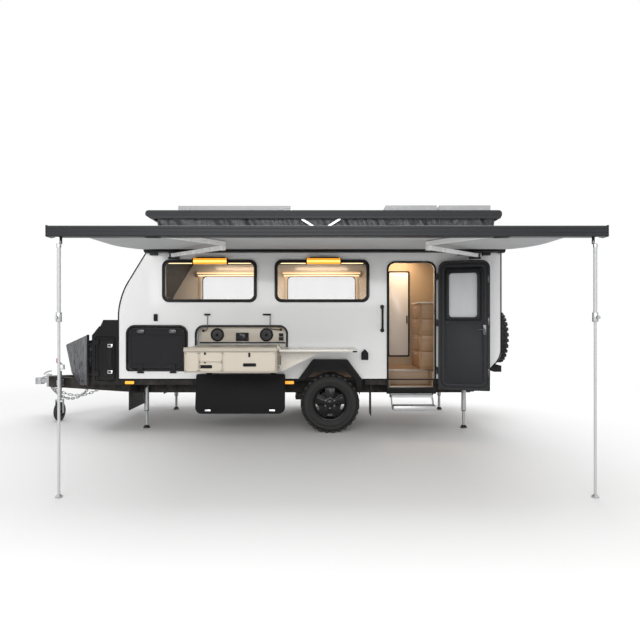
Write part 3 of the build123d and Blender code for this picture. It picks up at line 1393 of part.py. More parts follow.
def chain(side):
    """One safety chain of joined links, hung as an arc below its drawbar beam."""
    start = Vector(CHAIN_X[0], side * (bar_half_y(CHAIN_X[0]) - 12))
    end = Vector(CHAIN_X[1], side * CHAIN_END_Y)
    chord = end - start
    radius = (chord.length**2 / 4 + CHAIN_SAG**2) / (2 * CHAIN_SAG)
    step = 2 * degrees(asin(chord.length / 2 / radius)) / CHAIN_LINKS
    half = radius * radians(step) / 2 + LINK_ROD - FIT
    face = link_outline(half, LINK_HALF_W) - link_outline(half - LINK_ROD, LINK_HALF_W - LINK_ROD)
    flat = extrude(face, amount=LINK_ROD / 2, both=True)
    row = None
    for i in range(CHAIN_LINKS):
        angle = (i + 0.5 - CHAIN_LINKS / 2) * step
        turn = Rot(0, 0, 0) if i % 2 else Rot(90, 0, 0)
        at = Pos(radius * sin(radians(angle)), 0, -radius * cos(radians(angle)))
        link_solid = at * (Rot(0, -angle, 0) * (turn * flat))
        row = link_solid if row is None else row + link_solid
    lift = RAIL_Z[0] - FIT - row.bounding_box().max.Z
    middle = (start + end) / 2
    return Pos(middle.X, middle.Y, lift) * (Rot(0, 0, degrees(atan2(chord.Y, chord.X))) * row)


def chains():
    """Safety chains of both sides."""
    return group(chain(-1), chain(1))


def road_tyre(side):
    """Tyre of one road wheel."""
    return Pos(0, side * WHEEL_Y, TYRE_R) * tyre()


PARTS = {
    "chassis": group(chassis(), leg_mounts()),
    "hitch_coupling": hitch(),
    "jockey_post": jockey_post(),
    "jockey_fork": jockey_fork(),
    "jockey_wheel": jockey_wheel(),
    "front_toolbox": toolbox(),
    "toolbox_door": toolbox_door(),
    "stone_guard_frame": guard_frame(),
    "stone_guard_cover": guard_cover(),
    "safety_chains": chains(),
    "side_wall_left": entry_wall(),
    "side_wall_right": mirror(side_wall(), about=Plane.XZ),
    "front_wall": front_wall(),
    "rear_wall": rear_wall(),
    "floor": floor(),
    "top_frame": top_ring(),
    "window_frames": window_frames(),
    "window_glass": window_glass(),
    "wall_fittings": group(wall_fittings(), step_mount()),
    "front_hatch": hatch_leaf(*HATCHES[0]),
    "kitchen_hatch_door": kitchen_hatch(),
    "entry_door": entry_door(),
    "entry_glass": entry_glass(),
    "entry_step": entry_step(),
    "wheel_arches": arches(),
    "suspension": suspension(),
    "mud_flaps": mud_flaps(),
    "water_tanks": tanks(),
    "tyre_left": road_tyre(-1),
    "tyre_right": road_tyre(1),
    "rim_left": road_rim(-1),
    "rim_right": road_rim(1),
    "leg_front_left": leg(LEG_X[0], -1),
    "leg_front_right": leg(LEG_X[0], 1),
    "leg_rear_left": leg(LEG_X[1], -1),
    "leg_rear_right": leg(LEG_X[1], 1),
    "awning_case": awning_case(),
    "awning_fabric": fabric(),
    "arm_upper_left": upper_arm(-1),
    "arm_upper_right": upper_arm(1),
    "arm_fore_left": forearm(-1),
    "arm_fore_right": forearm(1),
    "awning_rail": lead_rail(),
    "awning_pole_left": pole(-1),
    "awning_pole_right": pole(1),
    "roof_shell": roof_shell(),
    "solar_panels": solar_panels(),
    "roof_skirt": roof_skirt(),
    "lift_bars_front": lift_bars(*LIFT_ROWS[0]),
    "lift_bars_rear": lift_bars(*LIFT_ROWS[1]),
    "kitchen_unit": kitchen(),
    "kitchen_panel": kitchen_panel(),
    "side_table": side_table(),
    "table_gusset": gusset(),
    "lamps": lamps(),
    "rear_bar": rear_bar(),
    "spare_wheel": spare(),
    "furniture": furniture(),
    "ensuite": ensuite(),
    "mattress": mattress(),
}

BOUNDS = Compound([s for shape in PARTS.values() for s in shape.solids()]).bounding_box()
SHIFT = Pos(-(BOUNDS.min.X + BOUNDS.max.X) / 2, -(BOUNDS.min.Y + BOUNDS.max.Y) / 2, -BOUNDS.min.Z)

os.makedirs("parts", exist_ok=True)
for name, shape in PARTS.items():
    export_step(SHIFT * group(shape), os.path.join("parts", name + ".step"))
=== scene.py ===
"""Looks of an off-road camper trailer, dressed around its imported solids.

Sizes are in millimetres from the axle, as the trailer is drawn: X runs to the
rear, the entry side is at -Y and Z is up from the ground. Shape.finish turns
them into metres in the shared frame.
"""

import logging
from dataclasses import dataclass
from enum import Enum
from math import atan2, cos, hypot, pi, radians, sin, tan
from typing import Any, Iterable, Optional, Sequence

import bmesh
import bpy
from mathutils import Matrix, Vector, noise


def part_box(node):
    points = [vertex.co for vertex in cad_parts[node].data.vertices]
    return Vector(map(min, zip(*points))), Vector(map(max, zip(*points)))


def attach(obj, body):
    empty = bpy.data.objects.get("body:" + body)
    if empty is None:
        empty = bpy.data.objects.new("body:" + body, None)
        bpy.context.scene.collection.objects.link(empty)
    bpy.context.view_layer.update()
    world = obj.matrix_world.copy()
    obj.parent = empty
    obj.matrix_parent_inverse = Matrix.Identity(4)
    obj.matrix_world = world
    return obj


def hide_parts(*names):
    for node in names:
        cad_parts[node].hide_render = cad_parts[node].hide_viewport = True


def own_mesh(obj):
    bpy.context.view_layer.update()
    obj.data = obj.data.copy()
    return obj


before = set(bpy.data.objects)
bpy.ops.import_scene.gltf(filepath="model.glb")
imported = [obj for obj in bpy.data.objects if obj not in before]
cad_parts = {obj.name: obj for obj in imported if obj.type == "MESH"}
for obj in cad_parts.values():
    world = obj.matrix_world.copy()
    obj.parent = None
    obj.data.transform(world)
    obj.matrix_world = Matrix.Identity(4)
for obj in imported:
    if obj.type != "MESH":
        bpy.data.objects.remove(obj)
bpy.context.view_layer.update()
LOG = logging.getLogger("camper")
Span = tuple[float, float]
Point = tuple[float, float, float]
Colour = tuple[float, float, float]


def axle_origin() -> Vector:
    """Give the axle's middle on the ground in the shared frame, in metres.

    Returns:
        The point that all sizes below are measured from.
    """
    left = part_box("tyre_left")
    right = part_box("tyre_right")
    return Vector(((left[0].x + left[1].x) / 2, (left[0].y + right[1].y) / 2, 0.0))


ORIGIN = axle_origin()


def at(x: float, y: float, z: float) -> Vector:
    """Turn a point in millimetres from the axle into metres in the shared frame."""
    return Vector((x, y, z)) / 1000 + ORIGIN


def spread(middle: float, half: float) -> Span:
    """Give the range that reaches as far to each side of a middle."""
    return (middle - half, middle + half)


def inside(span: Span, less: float) -> Span:
    """Give a range that stops short of another by the same step at both ends."""
    return (span[0] + less, span[1] - less)


class Axis(Enum):
    """Direction that a turned or extruded form follows."""

    X = (1.0, 0.0, 0.0)
    Y = (0.0, 1.0, 0.0)
    Z = (0.0, 0.0, 1.0)

    def matrix(self) -> Matrix:
        """Give the turn that carries Z onto this axis."""
        return Vector((0, 0, 1)).rotation_difference(Vector(self.value)).to_matrix().to_4x4()


class Value:
    """A shader socket that adds its own Math nodes under Python operators."""

    def __init__(self, sheet: "Sheet", socket: Any) -> None:
        """Wrap a socket.

        Args:
            sheet: The node sheet that the socket belongs to.
            socket: An output socket.
        """
        self.sheet = sheet
        self.socket = socket

    def _math(self, operation: str, a: Any, b: Any) -> "Value":
        """Add one Math node.

        Args:
            operation: The node's operation.
            a: First value.
            b: Second value.

        Returns:
            The node's result.
        """
        return self.sheet.add("ShaderNodeMath", {"operation": operation}, {0: a, 1: b})

    def __add__(self, other: Any) -> "Value":
        """Add."""
        return self._math("ADD", self, other)

    __radd__ = __add__

    def __sub__(self, other: Any) -> "Value":
        """Subtract."""
        return self._math("SUBTRACT", self, other)

    def __rsub__(self, other: Any) -> "Value":
        """Subtract from a number."""
        return self._math("SUBTRACT", other, self)

    def __mul__(self, other: Any) -> "Value":
        """Multiply."""
        return self._math("MULTIPLY", self, other)

    __rmul__ = __mul__

    def __truediv__(self, other: Any) -> "Value":
        """Divide."""
        return self._math("DIVIDE", self, other)

    def __rtruediv__(self, other: Any) -> "Value":
        """Divide a number by this."""
        return self._math("DIVIDE", other, self)

    def __pow__(self, other: Any) -> "Value":
        """Raise to a power."""
        return self._math("POWER", self, other)

    def most(self, other: Any) -> "Value":
        """Give the greater of two values."""
        return self._math("MAXIMUM", self, other)

    def least(self, other: Any) -> "Value":
        """Give the lesser of two values."""
        return self._math("MINIMUM", self, other)

    def apart(self, other: Any) -> "Value":
        """Give the distance from a number, without its sign."""
        return self.sheet.add("ShaderNodeMath", {"operation": "ABSOLUTE"}, {0: self - other})

    def every(self, pitch: float) -> "Value":
        """Give the place within a repeat, from 0 to 1."""
        return self.sheet.add("ShaderNodeMath", {"operation": "FRACT"}, {0: self / pitch})

    def eased(self, low: float, high: float) -> "Value":
        """Rise smoothly from 0 at low to 1 at high."""
        settings = {"interpolation_type": "SMOOTHSTEP"}
        return self.sheet.add("ShaderNodeMapRange", settings, {0: self, 1: low, 2: high, 3: 0.0, 4: 1.0})


class Sheet:
    """Node sheet of one material."""

    def __init__(self, name: str) -> None:
        """Start an empty material.

        Args:
            name: The material's name.
        """
        self.material = bpy.data.materials.new(name)
        self.material.use_nodes = True
        self.tree = self.material.node_tree
        self.tree.nodes.clear()

    def add(self, kind: str, settings: Optional[dict] = None, inputs: Optional[dict] = None,
            out: Any = 0) -> Value:
        """Add a node.

        Args:
            kind: The node's type.
            settings: Properties to set before its sockets; "stops" fills a ramp.
            inputs: Values or links by socket index or name.
            out: Index or name of the output to wrap.

        Returns:
            The wrapped output.
        """
        node = self.tree.nodes.new(kind)
        for key, value in (settings or {}).items():
            if key == "stops":
                self._stops(node.color_ramp, value)
            else:
                setattr(node, key, value)
        for key, value in (inputs or {}).items():
            if isinstance(value, Value):
                self.tree.links.new(value.socket, node.inputs[key])
            else:
                node.inputs[key].default_value = value
        return Value(self, node.outputs[out])

    @staticmethod
    def _stops(ramp: Any, stops: Sequence[tuple[float, Colour]]) -> None:
        """Fill a colour ramp.

        Args:
            ramp: The ramp.
            stops: Positions and colours in order.
        """
        while len(ramp.elements) < len(stops):
            ramp.elements.new(1.0)
        for element, (position, colour) in zip(ramp.elements, stops):
            element.position = position
            element.color = (*colour, 1.0)

    def place(self, scale: Point = (1, 1, 1), turn: Point = (0, 0, 0), shift: Point = (0, 0, 0)) -> Value:
        """Give object coordinates in metres from the axle, turned and scaled.

        Args:
            scale: Scale along each axis.
            turn: Turn about each axis in radians.
            shift: Further shift in metres before scaling.

        Returns:
            The vector.
        """
        spot = self.add("ShaderNodeTexCoord", out="Object")
        centred = self.add("ShaderNodeMapping", {}, {0: spot, 1: tuple(-ORIGIN + Vector(shift))})
        return self.add("ShaderNodeMapping", {}, {0: centred, 2: turn, 3: scale})

    def parts(self, vector: Value) -> tuple[Value, Value, Value]:
        """Split a vector.

        Args:
            vector: The vector.

        Returns:
            Its three values.
        """
        node = self.tree.nodes.new("ShaderNodeSeparateXYZ")
        self.tree.links.new(vector.socket, node.inputs[0])
        return tuple(Value(self, node.outputs[i]) for i in range(3))

    def cloud(self, vector: Value, scale: float, detail: float = 3.0, rough: float = 0.5) -> Value:
        """Give a soft noise value.

        Args:
            vector: Place on the surface.
            scale: Repeats per metre.
            detail: Octaves.
            rough: Share of the finer octaves.

        Returns:
            A value from 0 to 1.
        """
        return self.add("ShaderNodeTexNoise", {}, {"Vector": vector, "Scale": scale, "Detail": detail,
                                                   "Roughness": rough})

    def blend(self, share: Any, a: Any, b: Any, mode: str = "MIX") -> Value:
        """Mix two colours.

        Args:
            share: How much of the second.
            a: First colour, or a link.
            b: Second colour, or a link.
            mode: Blend mode.

        Returns:
            The mixed colour.
        """
        first = a if isinstance(a, Value) else (*a, 1.0)
        second = b if isinstance(b, Value) else (*b, 1.0)
        return self.add("ShaderNodeMix", {"data_type": "RGBA", "blend_type": mode},
                        {0: share, 6: first, 7: second}, 2)

    def bump(self, height: Value, depth: float, before: Optional[Value] = None) -> Value:
        """Turn a height into a normal.

        Args:
            height: Height from 0 to 1.
            depth: Depth of the relief in metres.
            before: A normal to build on.

        Returns:
            The normal.
        """
        inputs: dict = {"Strength": 1.0, "Distance": depth, "Height": height}
        if before is not None:
            inputs["Normal"] = before
        return self.add("ShaderNodeBump", {}, inputs)

    def close(self, **sockets: Any) -> bpy.types.Material:
        """Finish the material with one Principled shader.

        Args:
            sockets: Values or links by socket name, with _ for a space.

        Returns:
            The material.
        """
        inputs = {key.replace("_", " "): value for key, value in sockets.items()}
        for key in ("Base Color", "Emission Color"):
            if key in inputs and not isinstance(inputs[key], Value):
                inputs[key] = (*inputs[key], 1.0)
        shader = self.add("ShaderNodeBsdfPrincipled", {}, inputs)
        self.add_output(shader)
        return self.material

    def add_output(self, shader: Value) -> None:
        """Link a shader to the material's surface."""
        node = self.tree.nodes.new("ShaderNodeOutputMaterial")
        self.tree.links.new(shader.socket, node.inputs["Surface"])


_MADE: dict[str, bpy.types.Material] = {}


@dataclass(frozen=True)
class Finish:
    """A named surface finish; its material is made once."""

    name: str

    def material(self) -> bpy.types.Material:
        """Make the material on first use.

        Returns:
            The material.
        """
        if self.name not in _MADE:
            _MADE[self.name] = self.draw(Sheet(self.name))
        return _MADE[self.name]

    def draw(self, sheet: Sheet) -> bpy.types.Material:
        """Draw the nodes of the finish.

        Args:
            sheet: Node sheet to draw on.

        Returns:
            The material.
        """
        raise NotImplementedError


@dataclass(frozen=True)
class Coating(Finish):
    """Sprayed, powdered or moulded coat: mottled colour, fine grain and dust low down."""

    colour: Colour = (0.8, 0.8, 0.8)
    shade: Colour = (0.75, 0.75, 0.75)
    rough: Span = (0.25, 0.4)
    grain: float = 300.0
    relief: float = 0.0002
    coat: float = 0.0
    metallic: float = 0.0
    dust: float = 0.0
    shine: float = 0.5

    def draw(self, sheet: Sheet) -> bpy.types.Material:
        """Draw mottling, grain and dust.

        Args:
            sheet: Node sheet to draw on.

        Returns:
            The material.
        """
        spot = sheet.place()
        broad = sheet.cloud(spot, 2.2, 4)
        patch = sheet.cloud(spot, 21.0, 5, 0.6)
        colour = sheet.blend(broad * 0.65 + patch * 0.35, self.colour, self.shade)
        rough = self.rough[0] + (self.rough[1] - self.rough[0]) * (0.5 * broad + 0.5 * patch)
        if self.dust:
            height = sheet.parts(spot)[2]
            film = (1 - height.eased(0.25, 0.95)) * (sheet.cloud(spot, 9.0, 6, 0.65) - 0.32).most(0) * 2.2
            film = (film * self.dust).least(1)
            colour = sheet.blend(film, colour, (0.30, 0.27, 0.23))
            rough = (rough + film * 0.35).least(1)
        normal = sheet.bump(sheet.cloud(spot, self.grain, 2), self.relief)
        return sheet.close(Base_Color=colour, Roughness=rough, Metallic=self.metallic, Normal=normal,
                           Coat_Weight=self.coat, Coat_Roughness=0.06, Specular_IOR_Level=self.shine)


@dataclass(frozen=True)
class BrushedMetal(Finish):
    """Drawn or brushed metal with streaks along one axis."""

    colour: Colour = (0.6, 0.6, 0.6)
    shade: Colour = (0.5, 0.5, 0.5)
    rough: Span = (0.25, 0.42)
    along: Axis = Axis.X
    metallic: float = 1.0
    relief: float = 0.00004

    def draw(self, sheet: Sheet) -> bpy.types.Material:
        """Draw streaks and a soft handled mottling.

        Args:
            sheet: Node sheet to draw on.

        Returns:
            The material.
        """
        keep = Vector(self.along.value)
        stretch = tuple(1.0 - 0.985 * v for v in keep)
        streak = sheet.cloud(sheet.place(stretch), 420.0, 4, 0.7)
        spot = sheet.place()
        broad = sheet.cloud(spot, 6.0, 4)
        colour = sheet.blend(streak * 0.6 + broad * 0.4, self.colour, self.shade)
        rough = self.rough[0] + (self.rough[1] - self.rough[0]) * (0.55 * streak + 0.45 * broad)
        return sheet.close(Base_Color=colour, Roughness=rough, Metallic=self.metallic,
                           Normal=sheet.bump(streak, self.relief))


@dataclass(frozen=True)
class Galvanised(Finish):
    """Hot-dipped steel: crystal spangle, dull and bright flakes, light grime."""

    colour: Colour = (0.52, 0.53, 0.54)
    shade: Colour = (0.34, 0.35, 0.36)
    spangle: float = 90.0

    def draw(self, sheet: Sheet) -> bpy.types.Material:
        """Draw spangle cells with their own brightness.

        Args:
            sheet: Node sheet to draw on.

        Returns:
            The material.
        """
        spot = sheet.place()
        cells = sheet.add("ShaderNodeTexVoronoi", {}, {"Vector": spot, "Scale": self.spangle}, "Color")
        flake = sheet.add("ShaderNodeRGBToBW", {}, {0: cells})
        grime = sheet.cloud(spot, 14.0, 6, 0.65)
        colour = sheet.blend(flake * 0.6 + grime * 0.4, self.colour, self.shade)
        rough = 0.3 + 0.22 * flake + 0.16 * grime
        return sheet.close(Base_Color=colour, Roughness=rough, Metallic=0.9,
                           Normal=sheet.bump(flake * 0.5 + grime, 0.0003))


@dataclass(frozen=True)
class WovenCloth(Finish):
    """Coated canvas: fine crossed threads, broad ripples and faint handling marks."""

    colour: Colour = (0.6, 0.6, 0.6)
    shade: Colour = (0.52, 0.52, 0.52)
    pitch: float = 0.0035
    ripple: float = 0.003
    sheen: float = 0.2
    across: Axis = Axis.Y

    def draw(self, sheet: Sheet) -> bpy.types.Material:
        """Draw threads on two axes of the cloth and slow ripples.

        Args:
            sheet: Node sheet to draw on.

        Returns:
            The material.
        """
        spot = sheet.place()
        x, y, z = sheet.parts(spot)
        other = y if self.across is Axis.Y else z
        warp = (x.every(self.pitch)).apart(0.5)
        weft = (other.every(self.pitch)).apart(0.5)
        thread = warp.most(weft) * 2
        broad = sheet.cloud(spot, 1.4, 4)
        marks = sheet.cloud(spot, 8.0, 6, 0.6)
        colour = sheet.blend(broad * 0.5 + marks * 0.5, self.colour, self.shade)
        colour = sheet.blend(thread * 0.22, colour, tuple(0.7 * v for v in self.shade))
        normal = sheet.bump(broad * 0.7 + marks * 0.3, self.ripple)
        normal = sheet.bump(thread, self.pitch * 0.12, normal)
        return sheet.close(Base_Color=colour, Roughness=0.72 + 0.16 * marks, Normal=normal,
                           Sheen_Weight=self.sheen, Sheen_Roughness=0.5)


@dataclass(frozen=True)
class CreasedVinyl(Finish):
    """Coated vinyl with sharp packing creases, painted highlight along their ridges and soft shine."""

    colour: Colour = (0.03, 0.03, 0.033)
    # Lighter colour: painted highlight on the crease ridges, and random tone.
    shade: Colour = (0.055, 0.056, 0.06)
    crease: float = 9.0
    relief: float = 0.012
    rough: Span = (0.32, 0.5)
    stretch: Point = (1.0, 1.0, 0.45)

    def draw(self, sheet: Sheet) -> bpy.types.Material:
        """Draw ridged creases over a fine leather grain, with painted highlight that lightens the crease
        ridges.

        Args:
            sheet: Node sheet to draw on.

        Returns:
            The material.
        """
        spot = sheet.place(self.stretch)
        wander = sheet.cloud(spot, self.crease * 0.6, 3)
        ridge_and_painted_highlight = 1 - sheet.cloud(spot, self.crease, 4, 0.55).apart(0.5) * 2
        fold = ridge_and_painted_highlight ** 6
        grain = sheet.add("ShaderNodeTexVoronoi", {"feature": "DISTANCE_TO_EDGE"},
                          {"Vector": sheet.place(), "Scale": 700.0})
        # Painted highlight: the lighter shade colour follows the thin crease ridges (fold); the wander share
        # is random tone.
        colour = sheet.blend(fold * 0.55 + wander * 0.45, self.colour, self.shade)
        rough = self.rough[0] + (self.rough[1] - self.rough[0]) * wander
        normal = sheet.bump(fold * 0.5 + wander * 0.5, self.relief)
        normal = sheet.bump(grain.least(0.2), 0.0012, normal)
        return sheet.close(Base_Color=colour, Roughness=rough, Normal=normal)


@dataclass(frozen=True)
class Rubber(Finish):
    """Tyre or flap rubber: grey bloom, scuffs and dry road dust."""

    colour: Colour = (0.018, 0.018, 0.018)
    shade: Colour = (0.045, 0.044, 0.042)
    rough: Span = (0.55, 0.8)

    def draw(self, sheet: Sheet) -> bpy.types.Material:
        """Draw bloom and scuffs.

        Args:
            sheet: Node sheet to draw on.

        Returns:
            The material.
        """
        spot = sheet.place()
        bloom = sheet.cloud(spot, 7.0, 5, 0.6)
        scuff = sheet.cloud(spot, 90.0, 4, 0.7)
        colour = sheet.blend(bloom * 0.6 + scuff * 0.4, self.colour, self.shade)
        rough = self.rough[0] + (self.rough[1] - self.rough[0]) * bloom
        return sheet.close(Base_Color=colour, Roughness=rough, Normal=sheet.bump(scuff, 0.0005),
                           Specular_IOR_Level=0.35)


@dataclass(frozen=True)
class Pane(Finish):
    """Tinted acrylic window: see-through with faint wiping marks."""

    colour: Colour = (0.02, 0.022, 0.024)
    shade: Colour = (0.05, 0.053, 0.056)
    cover: Span = (0.4, 0.46)
    rough: Span = (0.03, 0.08)

    def draw(self, sheet: Sheet) -> bpy.types.Material:
        """Draw tint and marks.

        Args:
            sheet: Node sheet to draw on.

        Returns:
            The material.
        """
        spot = sheet.place((1.0, 1.0, 0.35), (0.0, 0.5, 0.0))
        marks = sheet.cloud(spot, 5.0, 5, 0.6)
        colour = sheet.blend(marks, self.colour, self.shade)
        rough = self.rough[0] + (self.rough[1] - self.rough[0]) * marks
        cover = self.cover[0] + (self.cover[1] - self.cover[0]) * marks
        return sheet.close(Base_Color=colour, Roughness=rough, Alpha=cover, IOR=1.49)


@dataclass(frozen=True)
class Lens(Finish):
    """Lamp lens with moulded ribs, lit from behind where it glows."""

    colour: Colour = (0.8, 0.3, 0.02)
    shade: Colour = (0.55, 0.16, 0.01)
    glow: float = 0.0
    pitch: float = 0.012
    along: Axis = Axis.X

    def draw(self, sheet: Sheet) -> bpy.types.Material:
        """Draw ribs and stains.

        Args:
            sheet: Node sheet to draw on.

        Returns:
            The material.
        """
        spot = sheet.place()
        x, y, z = sheet.parts(spot)
        run = {Axis.X: x, Axis.Y: y, Axis.Z: z}[self.along]
        rib = run.every(self.pitch).apart(0.5) * 2
        stain = sheet.cloud(spot, 40.0, 3)
        colour = sheet.blend(rib * 0.6 + stain * 0.4, self.colour, self.shade)
        normal = sheet.bump(rib, 0.0012)
        return sheet.close(Base_Color=colour, Roughness=0.12 + 0.12 * stain, Normal=normal, Coat_Weight=0.6,
                           Emission_Color=colour, Emission_Strength=self.glow)


@dataclass(frozen=True)
class Timber(Finish):
    """Wood-grain board: long figure, fine pores and a satin seal."""

    colour: Colour = (0.42, 0.26, 0.14)
    shade: Colour = (0.27, 0.15, 0.075)
    along: Axis = Axis.X
    plank: float = 0.0
    rough: Span = (0.35, 0.5)

    def draw(self, sheet: Sheet) -> bpy.types.Material:
        """Draw the figure along one axis, with board joints where it has planks.

        Args:
            sheet: Node sheet to draw on.

        Returns:
            The material.
        """
        keep = Vector(self.along.value)
        stretch = tuple(1.0 - 0.93 * v for v in keep)
        spot = sheet.place(stretch)
        figure = sheet.cloud(spot, 26.0, 6, 0.62)
        pore = sheet.cloud(spot, 260.0, 3, 0.6)
        tone = (figure - 0.3).most(0) * 1.6 + 0.25 * pore
        colour = sheet.blend(tone.least(1), self.colour, self.shade)
        height = figure * 0.4 + pore * 0.6
        if self.plank:
            x, y, _ = sheet.parts(sheet.place())
            side = {Axis.X: y, Axis.Y: x, Axis.Z: x}[self.along]
            joint = (side.every(self.plank).apart(0.5) - 0.47).most(0) * 33
            colour = sheet.blend(joint, colour, tuple(0.35 * v for v in self.shade))
            height = height - joint
        rough = self.rough[0] + (self.rough[1] - self.rough[0]) * figure
        return sheet.close(Base_Color=colour, Roughness=rough, Normal=sheet.bump(height, 0.0006))


@dataclass(frozen=True)
class CellGlass(Finish):
    """Solar glass: dark cells, pale gaps and thin silver lines."""

    cell: float = 0.156

    def draw(self, sheet: Sheet) -> bpy.types.Material:
        """Draw the cell grid.

        Args:
            sheet: Node sheet to draw on.

        Returns:
            The material.
        """
        spot = sheet.place()
        x, y, _ = sheet.parts(spot)
        gap = (x.every(self.cell).apart(0.5).most(y.every(self.cell).apart(0.5)) - 0.488).most(0) * 90
        bus = (x.every(self.cell / 3).apart(0.5) - 0.485).most(0) * 60
        tone = sheet.cloud(spot, 11.0, 3)
        colour = sheet.blend(tone, (0.006, 0.008, 0.018), (0.014, 0.018, 0.034))
        colour = sheet.blend((bus * 0.5).least(0.5), colour, (0.35, 0.36, 0.38))
        colour = sheet.blend(gap.least(1), colour, (0.55, 0.56, 0.58))
        return sheet.close(Base_Color=colour, Roughness=0.22 + 0.08 * tone, Specular_IOR_Level=0.12)


@dataclass(frozen=True)
class GlowStrip(Finish):
    """Lit strip or lit diffuser with faint random tone."""

    colour: Colour = (1.0, 0.72, 0.42)
    shade: Colour = (0.95, 0.6, 0.3)
    strength: float = 2.0

    def draw(self, sheet: Sheet) -> bpy.types.Material:
        """Draw the glow.

        Args:
            sheet: Node sheet to draw on.

        Returns:
            The material.
        """
        spot = sheet.place()
        colour = sheet.blend(sheet.cloud(spot, 30.0, 2), self.colour, self.shade)
        return sheet.close(Base_Color=colour, Roughness=0.5, Emission_Color=colour,
                           Emission_Strength=self.strength)


@dataclass(frozen=True)
class GrilleMesh(Finish):
    """Pressed speaker grille: rows of round holes in dark sheet."""

    colour: Colour = (0.03, 0.03, 0.032)
    hole: Colour = (0.004, 0.004, 0.004)
    pitch: float = 0.006

    def draw(self, sheet: Sheet) -> bpy.types.Material:
        """Draw the holes on the X-Z face.

        Args:
            sheet: Node sheet to draw on.

        Returns:
            The material.
        """
        spot = sheet.place()
        x, _, z = sheet.parts(spot)
        u = x.every(self.pitch).apart(0.5)
        v = z.every(self.pitch).apart(0.5)
        round_hole = 1 - (u * u + v * v).eased(0.07, 0.11)
        tone = sheet.cloud(spot, 60.0, 3)
        colour = sheet.blend(round_hole, sheet.blend(tone, self.colour, (0.05, 0.05, 0.052)), self.hole)
        return sheet.close(Base_Color=colour, Roughness=0.38 + 0.15 * tone,
                           Normal=sheet.bump(1 - round_hole, 0.0008))


